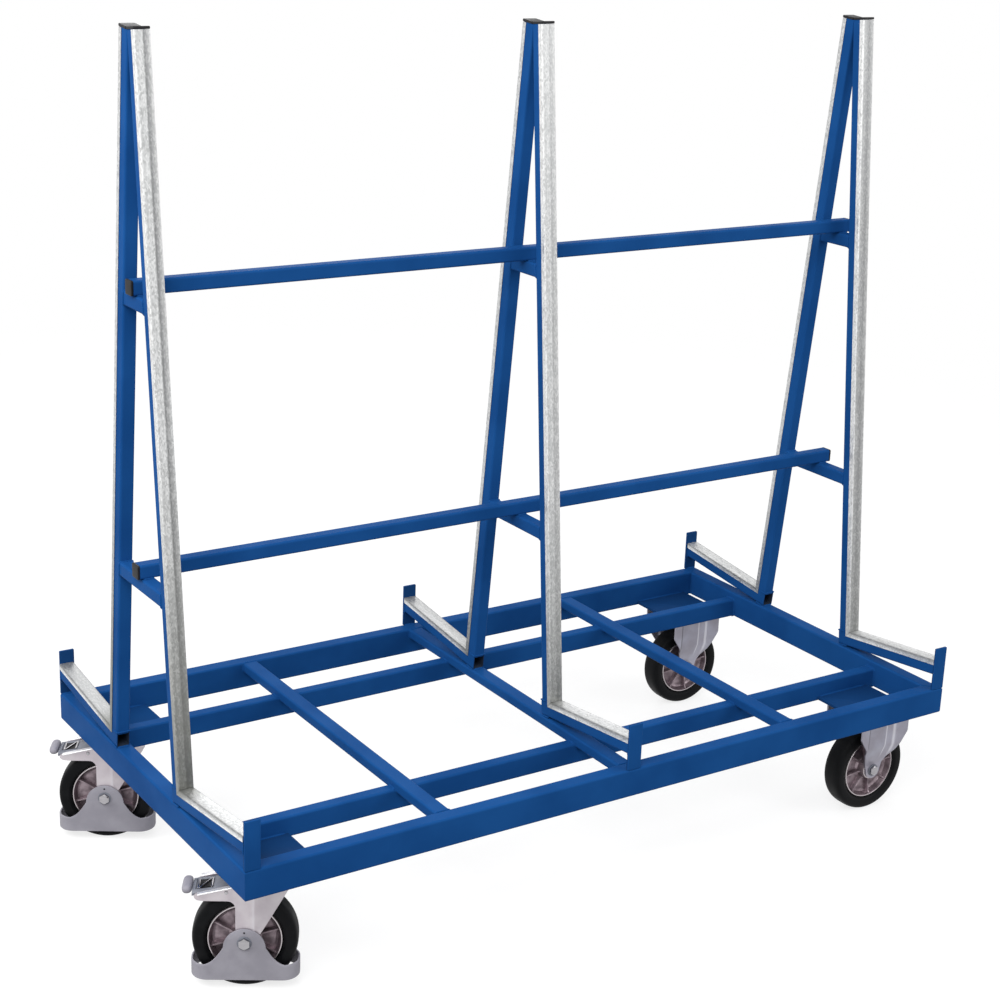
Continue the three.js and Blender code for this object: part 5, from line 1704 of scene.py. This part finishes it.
def pedal_grip():
    """A pad with blunt round ends: it fills (1 - |s|^6)^(1/2) of its length at the width s,
    and its section is a rounded square."""
    s = np.linspace(-1, 1, 41)[:, None]
    p = np.linspace(0, 2 * np.pi, 32, endpoint=False)[None]
    fill = np.clip(1 - np.abs(s) ** 6, 0, 1) ** 0.5
    long = blunt(np.cos(p), GRIP_SQUARE)
    tall = blunt(np.sin(p), GRIP_SQUARE)
    x = PEDAL_END + GRIP_GAP + GRIP_LENGTH * (0.5 + 0.5 * fill * long)
    y = np.broadcast_to(GRIP_REACH * s, x.shape)
    z = pedal_top(PEDAL_END) - GRIP_DROP + GRIP_HALF * fill * tall
    return grid(np.stack([x, y, z], -1), wrap_columns=True)


for side_name, side in SIDES.items():
    body = f"{side_name}_pedal"
    node = f"{side_name}_brake"
    pressed = at_swivel([pedal_plate()], side)
    piece(f"{node}_pressed_pedal", body, pedal_steel, pressed, [f"{node}_pedal"])
    bright = at_swivel([pedal_pin(), *pedal_ribs()], side)
    piece(f"{node}_pin_and_ribs", body, bolt_zinc, bright)
    piece(f"{node}_window", body, black_plastic, at_swivel([pedal_window()], side))
    pad = at_swivel([pedal_grip()], side)
    piece(f"{node}_soft_grip", body, grey_plastic, pad, [f"{node}_grip"])

# %% [markdown]
# ## Camera
# The camera stands where the photograph was taken from: its place, its three angles and its focal
# length were solved from the corners of the base and the heads of the frames.

# %% Camera
CAMERA_PLACE = (-1.93394, -2.86088, 1.77789)
CAMERA_LENS = 70.02
SENSOR_WIDTH = 36.0
FARTHEST = 200.0
CAMERA_YAW = math.radians(-33.65)
CAMERA_PITCH = math.radians(-17.94)
CAMERA_ROLL = math.radians(-2.12)

lens = bpy.data.cameras.new("camera")
lens.lens = CAMERA_LENS
lens.sensor_width = SENSOR_WIDTH
lens.clip_end = FARTHEST
camera = bpy.data.objects.new("camera", lens)
turn = Matrix.Rotation(CAMERA_YAW, 4, "Z") @ Matrix.Rotation(CAMERA_PITCH, 4, "X")
turn = turn @ Matrix.Rotation(CAMERA_ROLL, 4, "Y") @ Matrix.Rotation(math.pi / 2, 4, "X")
camera.matrix_world = Matrix.Translation(CAMERA_PLACE) @ turn
bpy.context.scene.collection.objects.link(camera)
bpy.context.scene.camera = camera
print("camera at", CAMERA_PLACE)

# %% [markdown]
# ## Floor and light
# The cart stands on a pale floor in soft studio light. Rays from the camera, and mirrored ones, see
# the floor and the sky as nearly white, and the floor still takes the shadow of the cart. The sky
# adds a plain level of light all round, and four large lamps give the broad soft highlights along the
# tubes.

# %% Floor
FLOOR_HALF = 6.0
FLOOR_GLOW = 0.765
FLOOR_PLAIN = srgb(150, 150, 150)
FLOOR_SHADOW = (0.27, 0.27, 0.27, 1.0)
FLOOR_FADE = (2.2, 4.6)


def seen(finish):
    """One for rays from the camera, from mirrors and through glass, and nothing for all others."""
    path = {name: finish.node("ShaderNodeLightPath", output=name)
            for name in ("Is Camera Ray", "Is Glossy Ray", "Is Transmission Ray")}
    either = path["Is Camera Ray"].math("MAXIMUM", path["Is Camera Ray"], path["Is Glossy Ray"])
    return either.math("MAXIMUM", either, path["Is Transmission Ray"])


def floor_finish():
    """A pale floor that glows a little to seeing rays, so that it stays white and keeps its shadow.
    Further out it fades into the white sky."""
    finish = Finish("studio_floor")
    plain = finish.node("ShaderNodeBsdfDiffuse", inputs={"Color": FLOOR_PLAIN})
    shadow = finish.node("ShaderNodeBsdfDiffuse", inputs={"Color": FLOOR_SHADOW})
    glow = finish.node("ShaderNodeEmission", inputs={"Strength": FLOOR_GLOW})
    white = finish.node("ShaderNodeAddShader", inputs={0: shadow, 1: glow})
    lit = finish.node("ShaderNodeMixShader", inputs={0: seen(finish), 1: plain, 2: white})
    clear = finish.node("ShaderNodeBsdfTransparent")
    away = finish.node("ShaderNodeVectorMath", {"operation": "LENGTH"}, {0: finish.place()}, "Value")
    fade = finish.ranged(away, *FLOOR_FADE)
    finish.node_output(finish.node("ShaderNodeMixShader", inputs={0: fade, 1: lit, 2: clear}))
    return finish.material


floor_mesh = bpy.data.meshes.new("studio_floor")
floor_corners = [(x * FLOOR_HALF, y * FLOOR_HALF, 0) for x, y in ((-1, -1), (1, -1), (1, 1), (-1, 1))]
floor_mesh.from_pydata(floor_corners, [], [(0, 1, 2, 3)])
floor_mesh.materials.append(floor_finish())
floor = bpy.data.objects.new("studio_floor", floor_mesh)
bpy.context.scene.collection.objects.link(floor)
print("floor:", 2 * FLOOR_HALF, "m wide")

# %% Light
SKY_LEVEL = 0.55
WHITE = (1.0, 1.0, 1.0, 1.0)
LAMP_AIM = Vector((0, 0, 0.7))
LAMPS = {"key_lamp": ((-3.2, -3.0, 4.6), 3.0, 205.0),
         "fill_lamp": ((3.5, -4.0, 3.0), 3.0, 78.0),
         "side_lamp": ((-3.0, 0.4, 2.6), 1.5, 54.0),
         "back_lamp": ((1.5, 4.5, 4.0), 3.0, 62.0)}


def sky():
    """A white world: full strength to seeing rays, and a plain level as light on the cart."""
    finish = Finish("studio_sky", bpy.data.worlds)
    eye = seen(finish)
    strength = eye.math("MAXIMUM", eye, SKY_LEVEL)
    light = finish.node("ShaderNodeBackground", inputs={"Color": WHITE, "Strength": strength})
    finish.node_output(light, "ShaderNodeOutputWorld")
    bpy.context.scene.world = finish.material


def lamp(name, place, size, power):
    """A square lamp that looks at the middle of the cart."""
    light = bpy.data.lights.new(name, "AREA")
    light.size = size
    light.energy = power
    made = bpy.data.objects.new(name, light)
    made.location = place
    made.rotation_euler = (LAMP_AIM - Vector(place)).to_track_quat("-Z", "Y").to_euler()
    bpy.context.scene.collection.objects.link(made)


sky()
for lamp_name, (place, size, power) in LAMPS.items():
    lamp(lamp_name, place, size, power)
bpy.context.scene.view_settings.view_transform = "Standard"
